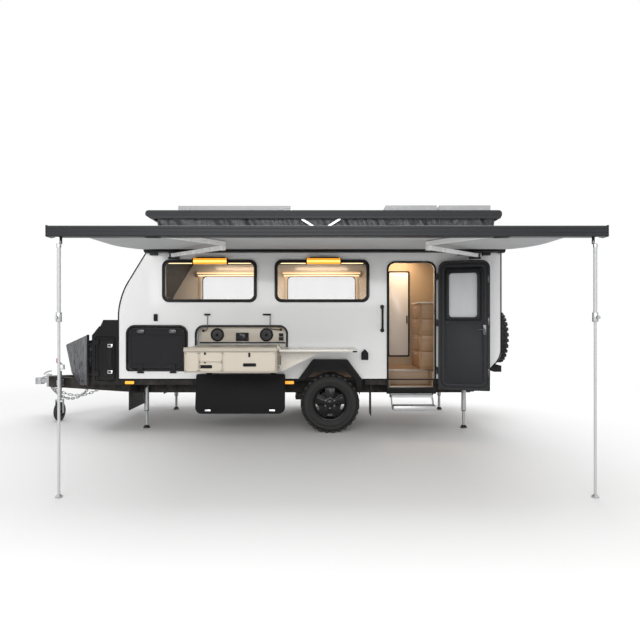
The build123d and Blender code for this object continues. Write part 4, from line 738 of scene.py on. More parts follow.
class Shape:
    """A mesh in the making, in millimetres from the axle."""

    def __init__(self) -> None:
        """Start empty."""
        self.bm = bmesh.new()

    def soften(self, edge: float, segments: int = 1, angle: float = 0.6) -> "Shape":
        """Round every edge that is sharper than an angle.

        Args:
            edge: Width of the rounding.
            segments: Steps across it.
            angle: Least angle between the faces, in radians.

        Returns:
            This shape.
        """
        sharp = [e for e in self.bm.edges if len(e.link_faces) == 2 and e.calc_face_angle(0.0) > angle]
        if sharp and edge > 0:
            bmesh.ops.bevel(self.bm, geom=sharp, offset=edge, offset_type="OFFSET", segments=segments,
                            profile=0.5, affect="EDGES", clamp_overlap=True, material=-1)
        return self

    def turn(self, degrees: float, axis: Axis, about: Point = (0, 0, 0)) -> "Shape":
        """Turn about an axis through a point.

        Args:
            degrees: Angle.
            axis: Axis of the turn.
            about: Point on the axis.

        Returns:
            This shape.
        """
        bmesh.ops.rotate(self.bm, cent=about, matrix=Matrix.Rotation(radians(degrees), 3, Vector(axis.value)),
                         verts=self.bm.verts)
        return self

    def shift(self, x: float, y: float, z: float) -> "Shape":
        """Move by a step."""
        bmesh.ops.translate(self.bm, vec=(x, y, z), verts=self.bm.verts)
        return self

    def apply(self, matrix: Matrix) -> "Shape":
        """Place by a matrix."""
        bmesh.ops.transform(self.bm, matrix=matrix, verts=self.bm.verts)
        return self

    def paint(self, slot: int) -> "Shape":
        """Give every face one of the piece's finishes.

        Args:
            slot: Finish number.

        Returns:
            This shape.
        """
        for face in self.bm.faces:
            face.material_index = slot
        return self

    def twin(self) -> "Shape":
        """Copy the shape.

        Returns:
            The copy.
        """
        other = Shape()
        other.bm.free()
        other.bm = self.bm.copy()
        return other

    def mirrored(self) -> "Shape":
        """Copy the shape to the other side of the centre line.

        Returns:
            The copy, faces outwards.
        """
        other = self.twin()
        bmesh.ops.scale(other.bm, vec=(1, -1, 1), verts=other.bm.verts)
        bmesh.ops.reverse_faces(other.bm, faces=other.bm.faces)
        return other

    def add(self, *others: "Shape") -> "Shape":
        """Take in other shapes, which are used up.

        Args:
            others: Shapes to take in.

        Returns:
            This shape.
        """
        for other in others:
            scratch = bpy.data.meshes.new("scratch")
            other.bm.to_mesh(scratch)
            self.bm.from_mesh(scratch)
            bpy.data.meshes.remove(scratch)
            other.bm.free()
        return self

    def both(self) -> "Shape":
        """Add the mirror image on the other side."""
        return self.add(self.mirrored())

    def box(self, x: Span, y: Span, z: Span, edge: float = 2.0, segments: int = 2, slot: int = 0) -> "Shape":
        """Add a block with rounded edges.

        Args:
            x: Range along X.
            y: Range along Y.
            z: Range along Z.
            edge: Width of the rounding.
            segments: Steps across it.
            slot: Finish number.

        Returns:
            This shape.
        """
        part = Shape()
        bmesh.ops.create_cube(part.bm, size=1.0)
        size = [abs(b - a) for a, b in (x, y, z)]
        bmesh.ops.scale(part.bm, vec=size, verts=part.bm.verts)
        part.shift(*((a + b) / 2 for a, b in (x, y, z)))
        return self.add(part.soften(min(edge, 0.3 * min(size)), segments).paint(slot))

    def bar(self, start: Point, end: Point, radius: float, tip: Optional[float] = None, sides: int = 20,
            edge: float = 1.0, slot: int = 0) -> "Shape":
        """Add a round bar between two points.

        Args:
            start: One end.
            end: Other end.
            radius: Radius at the start.
            tip: Radius at the end, if it tapers.
            sides: Sides round it.
            edge: Rounding of its ends.
            slot: Finish number.

        Returns:
            This shape.
        """
        a, b = Vector(start), Vector(end)
        part = Shape()
        bmesh.ops.create_cone(part.bm, cap_ends=True, segments=sides, radius1=radius,
                              radius2=radius if tip is None else tip, depth=(b - a).length)
        part.soften(min(edge, 0.3 * radius), 2, 1.0)
        turn = Vector((0, 0, 1)).rotation_difference(b - a).to_matrix().to_4x4()
        return self.add(part.apply(Matrix.Translation((a + b) / 2) @ turn).paint(slot))

    def turned(self, profile: Sequence[Span], centre: Point, axis: Axis, steps: int = 48, loop: bool = False,
               slot: int = 0) -> "Shape":
        """Add a turned form.

        Args:
            profile: Radius and distance along the axis, in order.
            centre: Point that the distances start from.
            axis: Axis of the turning.
            steps: Steps round it.
            loop: Whether the profile closes on itself.
            slot: Finish number.

        Returns:
            This shape.
        """
        part = Shape()
        verts = [part.bm.verts.new((r, 0, h)) for r, h in profile]
        ends = verts[1:] + verts[:1] if loop else verts[1:]
        edges = [part.bm.edges.new(pair) for pair in zip(verts, ends)]
        bmesh.ops.spin(part.bm, geom=verts + edges, cent=(0, 0, 0), axis=(0, 0, 1), angle=2 * pi, steps=steps,
                       use_merge=True, use_duplicate=False)
        bmesh.ops.remove_doubles(part.bm, verts=part.bm.verts, dist=0.01)
        bmesh.ops.recalc_face_normals(part.bm, faces=part.bm.faces)
        return self.add(part.apply(Matrix.Translation(centre) @ axis.matrix()).paint(slot))

    @staticmethod
    def _outline(points: Sequence[Span], radii: Sequence[float], steps: int) -> "Shape":
        """Make one flat face from an outline with rounded corners.

        Args:
            points: Corners in order.
            radii: Rounding of each corner.
            steps: Steps round a corner.

        Returns:
            The face, flat in X and Y.
        """
        part = Shape()
        verts = [part.bm.verts.new((u, v, 0)) for u, v in points]
        part.bm.faces.new(verts)
        corners = [Vector(p) for p in points]
        cuts = []
        for i, radius in enumerate(radii):
            before = corners[i] - corners[i - 1]
            after = corners[(i + 1) % len(corners)] - corners[i]
            cuts.append(radius * tan(before.angle(after) / 2))
        for vert, cut in zip(verts, cuts):
            if cut > 0:
                bmesh.ops.bevel(part.bm, geom=[vert], offset=cut, offset_type="OFFSET", segments=steps,
                                profile=0.5, affect="VERTICES", clamp_overlap=True, material=-1)
        return part

    def plate(self, points: Sequence[Span], radii: Sequence[float], depth: Span, axis: Axis = Axis.Y,
              band: float = 0.0, edge: float = 2.0, segments: int = 2, steps: int = 7,
              slot: int = 0) -> "Shape":
        """Add an extruded outline, or only a band along it.

        Args:
            points: Corners: (x, z) for Y, (y, z) for X, (x, y) for Z.
            radii: Rounding of each corner.
            depth: Range along the axis.
            axis: Axis of the extrusion.
            band: Width of the band, or 0 for the whole plate.
            edge: Rounding of the edges.
            segments: Steps across it.
            steps: Steps round a corner.
            slot: Finish number.

        Returns:
            This shape.
        """
        part = self._outline(points, radii, steps)
        if band:
            middle = list(part.bm.faces)
            bmesh.ops.inset_individual(part.bm, faces=middle, thickness=band, use_even_offset=True)
            bmesh.ops.delete(part.bm, geom=middle, context="FACES")
        made = bmesh.ops.extrude_face_region(part.bm, geom=list(part.bm.faces))
        top = [v for v in made["geom"] if isinstance(v, bmesh.types.BMVert)]
        bmesh.ops.translate(part.bm, vec=(0, 0, abs(depth[1] - depth[0])), verts=top)
        bmesh.ops.recalc_face_normals(part.bm, faces=part.bm.faces)
        part.soften(edge, segments, 0.9)
        low = min(depth)
        place = {
            Axis.Y: Matrix(((1, 0, 0, 0), (0, 0, 1, low), (0, 1, 0, 0), (0, 0, 0, 1))),
            Axis.X: Matrix(((0, 0, 1, low), (1, 0, 0, 0), (0, 1, 0, 0), (0, 0, 0, 1))),
            Axis.Z: Matrix(((1, 0, 0, 0), (0, 1, 0, 0), (0, 0, 1, low), (0, 0, 0, 1))),
        }[axis]
        part.apply(place)
        if axis is Axis.Y:
            bmesh.ops.reverse_faces(part.bm, faces=part.bm.faces)
        return self.add(part.paint(slot))

    def panel(self, x: Span, z: Span, y: Span, corner: float, band: float = 0.0, edge: float = 2.0,
              slot: int = 0) -> "Shape":
        """Add an upright rounded panel, or a rounded frame.

        Args:
            x: Range along X.
            z: Range along Z.
            y: Range along Y.
            corner: Rounding of the corners.
            band: Width of the frame, or 0 for a whole panel.
            edge: Rounding of the edges.
            slot: Finish number.

        Returns:
            This shape.
        """
        points = ((x[0], z[0]), (x[1], z[0]), (x[1], z[1]), (x[0], z[1]))
        return self.plate(points, (corner,) * 4, y, band=band, edge=edge, slot=slot)

    def pipe(self, route: Sequence[Point], radius: float, slot: int = 0) -> "Shape":
        """Add a round pipe along a smooth route.

        Args:
            route: Control points.
            radius: Radius of the pipe.
            slot: Finish number.

        Returns:
            This shape.
        """
        curve = bpy.data.curves.new("route", "CURVE")
        curve.dimensions = "3D"
        spline = curve.splines.new("NURBS")
        spline.points.add(len(route) - 1)
        for point, spot in zip(spline.points, route):
            point.co = (*spot, 1.0)
        spline.order_u = 3
        spline.use_endpoint_u = True
        curve.bevel_depth = radius
        curve.bevel_resolution = 3
        curve.use_fill_caps = True
        carrier = bpy.data.objects.new("route", curve)
        mesh = bpy.data.meshes.new_from_object(carrier)
        part = Shape()
        part.bm.from_mesh(mesh)
        bmesh.ops.remove_doubles(part.bm, verts=part.bm.verts, dist=0.01)
        bmesh.ops.recalc_face_normals(part.bm, faces=part.bm.faces)
        bpy.data.objects.remove(carrier)
        bpy.data.curves.remove(curve)
        bpy.data.meshes.remove(mesh)
        return self.add(part.paint(slot))

    def bolts(self, spots: Iterable[Point], axis: Axis, radius: float, height: float,
              slot: int = 0) -> "Shape":
        """Add hexagon bolt heads on washers.

        Args:
            spots: Centre of each seat.
            axis: Axis of the bolts; a negative height faces the other way.
            radius: Radius of the head.
            height: Height of the head.
            slot: Finish number.

        Returns:
            This shape.
        """
        way = Vector(axis.value)
        for spot in spots:
            seat = Vector(spot)
            self.bar(seat, seat + way * height * 0.25, radius * 1.45, sides=14, edge=0, slot=slot)
            self.bar(seat, seat + way * height, radius, sides=6, edge=0.6, slot=slot)
        return self

    def finish(self, name: str, body: str, slot: str, *finishes: Finish, replaces: Sequence[str] = (),
               angle: float = 38.0) -> bpy.types.Object:
        """Make the object, dress it and let it ride on a body.

        Args:
            name: Name of the piece.
            body: Body that it rides on.
            slot: Material slot of the record; not used.
            finishes: Finishes by number.
            replaces: Solids that it stands for.
            angle: Greatest smooth angle in degrees.

        Returns:
            The object.
        """
        self.apply(Matrix.Translation(ORIGIN) @ Matrix.Scale(0.001, 4))
        mesh = bpy.data.meshes.new(name)
        self.bm.to_mesh(mesh)
        self.bm.free()
        for coat in finishes:
            mesh.materials.append(coat.material())
        mesh.shade_smooth()
        mesh.set_sharp_from_angle(angle=radians(angle))
        piece = bpy.data.objects.new(name, mesh)
        bpy.context.scene.collection.objects.link(piece)
        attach(piece, body)
        if replaces:
            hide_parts(*replaces)
        LOG.info("%s rides on %s, %d faces", name, body, len(mesh.polygons))
        return piece


def dress(coat: Finish, *nodes: str) -> None:
    """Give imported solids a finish.

    Args:
        coat: The finish.
        nodes: Names of the solids.
    """
    for name in nodes:
        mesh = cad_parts[name].data
        mesh.materials.clear()
        mesh.materials.append(coat.material())


def ripple(x: float, y: float, z: float, scale: float) -> float:
    """Give smooth noise from -1 to 1 at a point, for folds.

    Args:
        x: Place along X.
        y: Place along Y.
        z: Place along Z.
        scale: Size of one fold.

    Returns:
        The noise value.
    """
    return noise.noise(Vector((x, y, z)) / scale)


@dataclass(frozen=True)
class StudioFloor(Finish):
    """Pale floor that keeps the shadow and fades to white far away."""

    colour: Colour = (0.87, 0.87, 0.87)

    def draw(self, sheet: Sheet) -> bpy.types.Material:
        """Draw the pale floor with a white far edge.

        Args:
            sheet: Node sheet to draw on.

        Returns:
            The material.
        """
        spot = sheet.place()
        x, y, _ = sheet.parts(spot)
        reach = (x * x + (y + 1.2) * (y + 1.2)) ** 0.5
        tone = sheet.cloud(spot, 0.8, 3)
        colour = sheet.blend(tone * 0.25, self.colour, tuple(0.98 * v for v in self.colour))
        pale = sheet.add("ShaderNodeBsdfPrincipled", {},
                         {"Base Color": colour, "Roughness": 0.75 + 0.1 * tone})
        white = sheet.add("ShaderNodeEmission", {}, {"Color": (1, 1, 1, 1), "Strength": 1.0})
        seen = sheet.add("ShaderNodeLightPath", out="Is Camera Ray")
        share = reach.eased(4.2, 9.0) * seen
        sheet.add_output(sheet.add("ShaderNodeMixShader", {}, {0: share, 1: pale, 2: white}))
        return sheet.material


@dataclass
class Studio:
    """Pale floor, white surround, soft light and the camera of the photograph."""

    eye: Point = (-127.0, -7970.0, 1435.0)
    lens: float = 30.48
    ambient: float = 0.62
    floor_half: float = 30000.0
    warm: Colour = (1.0, 0.72, 0.47)

    def build(self) -> None:
        """Build floor, surround, lamps and camera."""
        self._floor()
        self._surround()
        self._lamps()
        self._camera()

    def _floor(self) -> None:
        """Lay the floor."""
        sheet = Shape()
        bmesh.ops.create_grid(sheet.bm, x_segments=8, y_segments=8, size=self.floor_half)
        sheet.apply(Matrix.Translation(ORIGIN) @ Matrix.Scale(0.001, 4))
        mesh = bpy.data.meshes.new("studio_floor")
        sheet.bm.to_mesh(mesh)
        sheet.bm.free()
        mesh.materials.append(StudioFloor("studio_floor").material())
        floor = bpy.data.objects.new("studio_floor", mesh)
        bpy.context.scene.collection.objects.link(floor)

    def _surround(self) -> None:
        """Set a white world that lights softly."""
        world = bpy.data.worlds.new("studio")
        bpy.context.scene.world = world
        world.use_nodes = True
        tree = world.node_tree
        tree.nodes.clear()
        path = tree.nodes.new("ShaderNodeLightPath")
        shown = path.outputs["Is Camera Ray"]
        for ray in ("Is Transmission Ray", "Is Glossy Ray"):
            either = tree.nodes.new("ShaderNodeMath")
            either.operation = "MAXIMUM"
            tree.links.new(shown, either.inputs[0])
            tree.links.new(path.outputs[ray], either.inputs[1])
            shown = either.outputs[0]
        level = tree.nodes.new("ShaderNodeMapRange")
        tree.links.new(shown, level.inputs[0])
        level.inputs[3].default_value = self.ambient
        level.inputs[4].default_value = 1.0
        sky = tree.nodes.new("ShaderNodeBackground")
        sky.inputs["Color"].default_value = (1, 1, 1, 1)
        tree.links.new(level.outputs[0], sky.inputs["Strength"])
        out = tree.nodes.new("ShaderNodeOutputWorld")
        tree.links.new(sky.outputs[0], out.inputs["Surface"])

    @staticmethod
    def _lamp(name: str, spot: Point, goal: Point, size: Span, power: float,
              colour: Colour = (1, 1, 1)) -> None:
        """Hang one soft lamp.

        Args:
            name: Name of the lamp.
            spot: Where it hangs.
            goal: What it faces.
            size: Width and height in metres.
            power: Power in watts.
            colour: Colour of the light.
        """
        data = bpy.data.lights.new(name, "AREA")
        data.shape = "RECTANGLE"
        data.size, data.size_y = size
        data.energy = power
        data.color = colour
        lamp = bpy.data.objects.new(name, data)
        lamp.location = at(*spot)
        lamp.rotation_euler = (at(*goal) - at(*spot)).to_track_quat("-Z", "Y").to_euler()
        bpy.context.scene.collection.objects.link(lamp)

    def _lamps(self) -> None:
        """Hang the studio lamps and the lamps inside the cabin."""
        self._lamp("over", (-200, -500, 7500), (-200, -300, 0), (9.0, 6.0), 420)
        self._lamp("front", (-1200, -10500, 3600), (-200, -1100, 1200), (8.0, 3.5), 420)
        self._lamp("rear_fill", (3500, 7500, 4500), (0, 0, 1300), (6.0, 4.0), 260)
        for x in (-1500, -100):
            self._lamp(f"cabin_{x}", (x, 500, 2330), (x, 700, 1000), (0.9, 0.3), 11, self.warm)
        self._lamp("aisle", (1000, -250, 2330), (1000, -200, 1000), (0.5, 0.5), 8, self.warm)

    def _camera(self) -> None:
        """Place the camera of the photograph."""
        data = bpy.data.cameras.new("photo_view")
        data.lens = self.lens
        data.sensor_width = 36.0
        data.clip_end = 200.0
        camera = bpy.data.objects.new("photo_view", data)
        camera.location = at(*self.eye)
        camera.rotation_euler = (pi / 2, 0.0, 0.0)
        bpy.context.scene.collection.objects.link(camera)
        bpy.context.scene.camera = camera
        bpy.context.scene.view_settings.view_transform = "Standard"


WALL_WHITE = Coating("wall_white", (0.80, 0.805, 0.80), (0.76, 0.765, 0.76), (0.16, 0.26), 260.0, 0.00012,
                     0.5)
STEEL_BLACK = Coating("steel_black", (0.011, 0.011, 0.012), (0.018, 0.018, 0.019), (0.35, 0.5), 420.0, 0.0003,
                      dust=0.3, shine=0.08)
PLASTIC_BLACK = Coating("plastic_black", (0.008, 0.008, 0.009), (0.014, 0.014, 0.015), (0.3, 0.42), 900.0,
                        0.0004, shine=0.1)
GLOSS_BLACK = Coating("gloss_black", (0.006, 0.006, 0.007), (0.01, 0.01, 0.011), (0.12, 0.2), 500.0, 0.0001,
                      0.12, shine=0.2)
MATT_BLACK = Coating("matt_black", (0.010, 0.010, 0.011), (0.015, 0.015, 0.016), (0.46, 0.6), 700.0, 0.0005,
                     shine=0.08)
CHARCOAL = Coating("charcoal", (0.018, 0.018, 0.02), (0.026, 0.026, 0.028), (0.32, 0.44), 600.0, 0.0003,
                   shine=0.08)
DOOR_GREY = Coating("door_grey", (0.026, 0.027, 0.029), (0.036, 0.037, 0.04), (0.34, 0.46), 800.0, 0.0005,
                    shine=0.12)
BOX_BLACK = Coating("box_black", (0.012, 0.012, 0.013), (0.02, 0.02, 0.021), (0.34, 0.48), 380.0, 0.0006,
                    dust=0.25, shine=0.08)
ROOF_GREY = Coating("roof_grey", (0.036, 0.037, 0.039), (0.05, 0.051, 0.054), (0.3, 0.42), 300.0, 0.0003,
                    shine=0.12)
POLE_GREY = Coating("pole_grey", (0.50, 0.505, 0.51), (0.43, 0.435, 0.44), (0.3, 0.42), 420.0, 0.0002)
ARM_WHITE = Coating("arm_white", (0.86, 0.86, 0.85), (0.80, 0.80, 0.79), (0.22, 0.34), 420.0, 0.0002)
RAIL_GREY = Coating("rail_grey", (0.024, 0.025, 0.028), (0.036, 0.037, 0.04), (0.28, 0.4), 500.0, 0.0002,
                    shine=0.15)
CREAM = Coating("cream", (0.63, 0.57, 0.475), (0.57, 0.51, 0.42), (0.3, 0.42), 500.0, 0.0002, 0.2)
CREAM_TRIM = Coating("cream_trim", (0.52, 0.47, 0.39), (0.45, 0.41, 0.34), (0.3, 0.42), 500.0, 0.0002, 0.1)
TABLE_PALE = Coating("table_pale", (0.68, 0.64, 0.58), (0.60, 0.57, 0.51), (0.22, 0.34), 500.0, 0.0002, 0.2)
PALE_LINING = Coating("pale_lining", (0.72, 0.68, 0.61), (0.66, 0.62, 0.55), (0.4, 0.55), 320.0, 0.0004)
TAN_BOARD = Coating("tan_board", (0.52, 0.40, 0.27), (0.45, 0.34, 0.22), (0.4, 0.52), 320.0, 0.0004)
CEILING_GREY = Coating("ceiling_grey", (0.03, 0.029, 0.028), (0.045, 0.044, 0.042), (0.7, 0.85), 600.0, 0.001)
TANK_BLACK = Coating("tank_black", (0.015, 0.015, 0.016), (0.026, 0.026, 0.027), (0.5, 0.65), 160.0, 0.001,
                     dust=0.5, shine=0.08)
RIM_BLACK = Coating("rim_black", (0.007, 0.007, 0.008), (0.011, 0.011, 0.012), (0.16, 0.26), 420.0, 0.0002,
                    0.1, shine=0.2)
KNOB_RED = Coating("knob_red", (0.50, 0.018, 0.015), (0.40, 0.014, 0.012), (0.25, 0.36), 420.0, 0.0002, 0.3)
CHROME = BrushedMetal("chrome", (0.70, 0.70, 0.71), (0.58, 0.58, 0.59), (0.12, 0.22))
DARK_CHROME = BrushedMetal("dark_chrome", (0.13, 0.13, 0.135), (0.08, 0.08, 0.085), (0.18, 0.3))
ALLOY = BrushedMetal("alloy", (0.56, 0.57, 0.58), (0.44, 0.45, 0.46), (0.3, 0.44))
ZINC = Galvanised("zinc")
AWNING_CLOTH = WovenCloth("awning_cloth", (0.44, 0.45, 0.46), (0.38, 0.39, 0.40), 0.004, 0.004)
MATTRESS_CLOTH = WovenCloth("mattress_cloth", (0.075, 0.075, 0.08), (0.05, 0.05, 0.054), 0.005, 0.006, 0.35)
NOSE_CLOTH = WovenCloth("nose_cloth", (0.05, 0.048, 0.046), (0.016, 0.015, 0.015), 0.03, 0.008, 0.1, Axis.Z)
# The vinyls' second colour is painted highlight on the crease ridges as well as random tone.
SKIRT_VINYL = CreasedVinyl("skirt_vinyl", (0.016, 0.016, 0.018), (0.055, 0.056, 0.06), 5.0, 0.012,
                           (0.22, 0.34))
GUARD_VINYL = CreasedVinyl("guard_vinyl", (0.010, 0.011, 0.014), (0.042, 0.046, 0.060), 6.0, 0.024,
                           (0.22, 0.36), (1.0, 1.0, 0.8))
TYRE_RUBBER = Rubber("tyre_rubber", (0.011, 0.011, 0.011), (0.026, 0.025, 0.024))
FLAP_RUBBER = Rubber("flap_rubber", (0.013, 0.013, 0.013), (0.03, 0.029, 0.028), (0.5, 0.7))
CLEAR_PANE = Pane("clear_pane", cover=(0.03, 0.06))
FROST_PANE = Pane("frost_pane", (0.62, 0.64, 0.65), (0.7, 0.72, 0.73), (0.78, 0.86), (0.3, 0.45))
AMBER = Lens("amber", (0.95, 0.42, 0.02), (0.8, 0.27, 0.01), glow=0.85)
RED_LENS = Lens("red_lens", (0.42, 0.015, 0.01), (0.3, 0.01, 0.008), 0.05)
CLEAR_LENS = Lens("clear_lens", (0.75, 0.76, 0.78), (0.6, 0.61, 0.63), 0.0, 0.008)
OAK = Timber("oak", (0.44, 0.28, 0.155), (0.28, 0.165, 0.085))
FLOOR_WOOD = Timber("floor_wood", (0.36, 0.25, 0.16), (0.22, 0.145, 0.09), plank=0.14)
SOLAR_GLASS = CellGlass("solar_glass")
WARM_STRIP = GlowStrip("warm_strip", strength=2.4)
BAR_GLOW = GlowStrip("bar_glow", (1.0, 0.78, 0.25), (1.0, 0.66, 0.14), 1.0)
SPEAKER_MESH = GrilleMesh("speaker_mesh")


@dataclass
class BodyShell:
    """White walls with their black edge trim, floor and lamps along the sides."""

    half: float = 1100.0
    profile: Sequence[Span] = ((-2690, 675), (1897, 675), (2175, 953), (2175, 2400), (-2272, 2400),
                               (-2690, 1717))
    radii: Sequence[float] = (14, 250, 250, 14, 14, 800)
    band: float = 16.0
    proud: float = 3.0
    markers: Sequence[float] = (-2536.0, -514.0)
    bars: Sequence[float] = (-1510.0, -82.0)
    bar_half: float = 208.0
    bar_end: float = 14.0
    bar_y: Span = (-1174.0, -1122.0)
    bar_z: Span = (2134.0, 2214.0)
    screw_xs: Sequence[int] = range(-2600, 1601, 300)
    screw_z: float = 683.0
    arch_half: float = 420.0

    def build(self) -> None:
        """Dress the shell and lay the trim."""
        dress(WALL_WHITE, "side_wall_left", "side_wall_right", "front_wall", "rear_wall")
        dress(FLOOR_WOOD, "floor")
        dress(PLASTIC_BLACK, "wall_fittings", "window_frames")
        dress(CEILING_GREY, "top_frame")
        self._trim()
        self._markers()
        self._screws()

    def _trim(self) -> None:
        """Lay a thin black moulding along both side profiles."""
        strip = Shape().plate(self.profile, self.radii, (-self.half - self.proud, -self.half), band=self.band,
                              edge=1.2, steps=10)
        strip.both().finish("edge_trim", "trailer", "black_plastic", PLASTIC_BLACK)

    def _markers(self) -> None:
        """Put a black base behind each amber side marker and dress the lamps."""
        dress(AMBER, "lamps")
        base = Shape()
        for x in self.markers:
            base.panel(spread(x, 68), (616, 671), (-self.half - 8, -self.half + 1), 12, edge=2)
        base.both().finish("marker_bases", "trailer", "black_plastic", PLASTIC_BLACK)
        housing = Shape()
        for x in self.bars:
            housing.box((x - 170, x + 186), (-1166, -1099), (2207, 2226), 4)
            for end in (x - self.bar_half - 16, x + self.bar_half + 2):
                housing.box((end, end + self.bar_end), self.bar_y, self.bar_z, 5)
            housing.box(spread(x, self.bar_half), (-1173, -1168), (2160, 2186), 2, slot=1)
        housing.finish("lamp_bar_housings", "trailer", "black_plastic", PLASTIC_BLACK, BAR_GLOW)

    def _screws(self) -> None:
        """Set small screw heads along the lower trim."""
        heads = Shape()
        for x in self.screw_xs:
            if abs(x) > self.arch_half:
                spot = (x, -self.half - self.proud, self.screw_z)
                heads.turned(((0, -3.0), (4, -2.4), (6, -0.8), (6, 0)), spot, Axis.Y, 12)
        heads.both().finish("trim_screws", "trailer", "black_plastic", GLOSS_BLACK)


@dataclass
class Windows:
    """Side windows: raised frames, seals, pale reveals, pelmets and warm strips inside."""

    middles: Sequence[float] = (-1525.0, -102.0)
    width: float = 1200.0
    z: Span = (1658.0, 2198.0)
    corner: float = 90.0
    out: float = -1122.0
    wall: Span = (-1100.0, -1060.0)
    nose: Sequence[Span] = ((-2646, 1420), (-2640, 1420), (-2640, 1703), (-2222, 2385), (-2229, 2385),
                            (-2646, 1705))
    nose_radii: Sequence[float] = (1, 1, 750, 1, 1, 756)
    nose_half: float = 1056.0
    far_y: Span = (992.0, 1059.0)
    far_z: Span = (2172.0, 2256.0)

    def build(self) -> None:
        """Build every layer of the windows."""
        dress(CLEAR_PANE, "window_glass")
        self._frames()
        self._reveals()
        self._pelmets()

    def _span(self, x: float, less: float) -> Span:
        """Give the X range of a window, less a border."""
        return (x - self.width / 2 + less, x + self.width / 2 - less)

    def _frames(self) -> None:
        """Lay a rounded outer bead and a rubber seal on each frame."""
        bead = Shape()
        for x in self.middles:
            bead.panel(self._span(x, 0), self.z, (self.out - 5, self.out + 2), self.corner, band=17, edge=3)
            inner = inside(self.z, 27)
            bead.panel(self._span(x, 27), inner, (self.out - 2, self.out + 6), self.corner - 26, band=13,
                       edge=2, slot=1)
        bead.both().finish("window_beads", "trailer", "black_plastic", GLOSS_BLACK, FLAP_RUBBER)

    def _reveals(self) -> None:
        """Line each window opening on the inside."""
        lining = Shape()
        for x in self.middles:
            z = inside(self.z, -14)
            lining.panel(self._span(x, -14), z, (self.wall[1] - 2, self.wall[1] + 16), self.corner, band=46,
                         edge=4)
        lining.both().finish("window_linings", "trailer", "white_panel", PALE_LINING)

    def _pelmets(self) -> None:
        """Hang a pelmet with a warm strip and two stays inside each window."""
        trim = Shape()
        for x in self.middles:
            run = self._span(x, -30)
            trim.box(run, (self.wall[1] + 17, self.wall[1] + 62), (self.z[1] - 34, self.z[1] + 40), 5)
            trim.box(inside(run, 20), (self.wall[1] + 30, self.wall[1] + 50),
                     (self.z[1] - 40, self.z[1] - 34), 1, slot=1)
        trim.finish("pelmets_near", "trailer", "white_panel", PALE_LINING, WARM_STRIP)
        far = Shape()
        for x in self.middles:
            run = self._span(x, -42)
            y, z = self.far_y[0], self.far_z[0]
            far.box(run, self.far_y, self.far_z, 7)
            far.box(inside(run, 20), (y + 4, y + 38), (z - 8, z), 1, slot=1)
            far.box(run, (y - 2, y + 4), (z + 34, z + 42), 1, slot=1)
        far.finish("pelmets_far", "trailer", "white_panel", PALE_LINING, WARM_STRIP)
        lining = Shape().plate(self.nose, self.nose_radii, (-self.nose_half, self.nose_half), edge=0)
        lining.finish("nose_lining", "trailer", "quilt", NOSE_CLOTH)
        catches = Shape()
        for x in self.middles:
            for part in (-0.33, 0.33):
                at_x = x + part * self.width
                catches.panel(spread(at_x, 34), (self.z[0] + 34, self.z[0] + 62), (1068, 1092), 8, edge=3)
                catches.bar((at_x, 1062, self.z[0] + 48), (at_x, 1072, self.z[0] + 48), 16)
        catches.finish("window_catches", "trailer", "black_plastic", PLASTIC_BLACK)


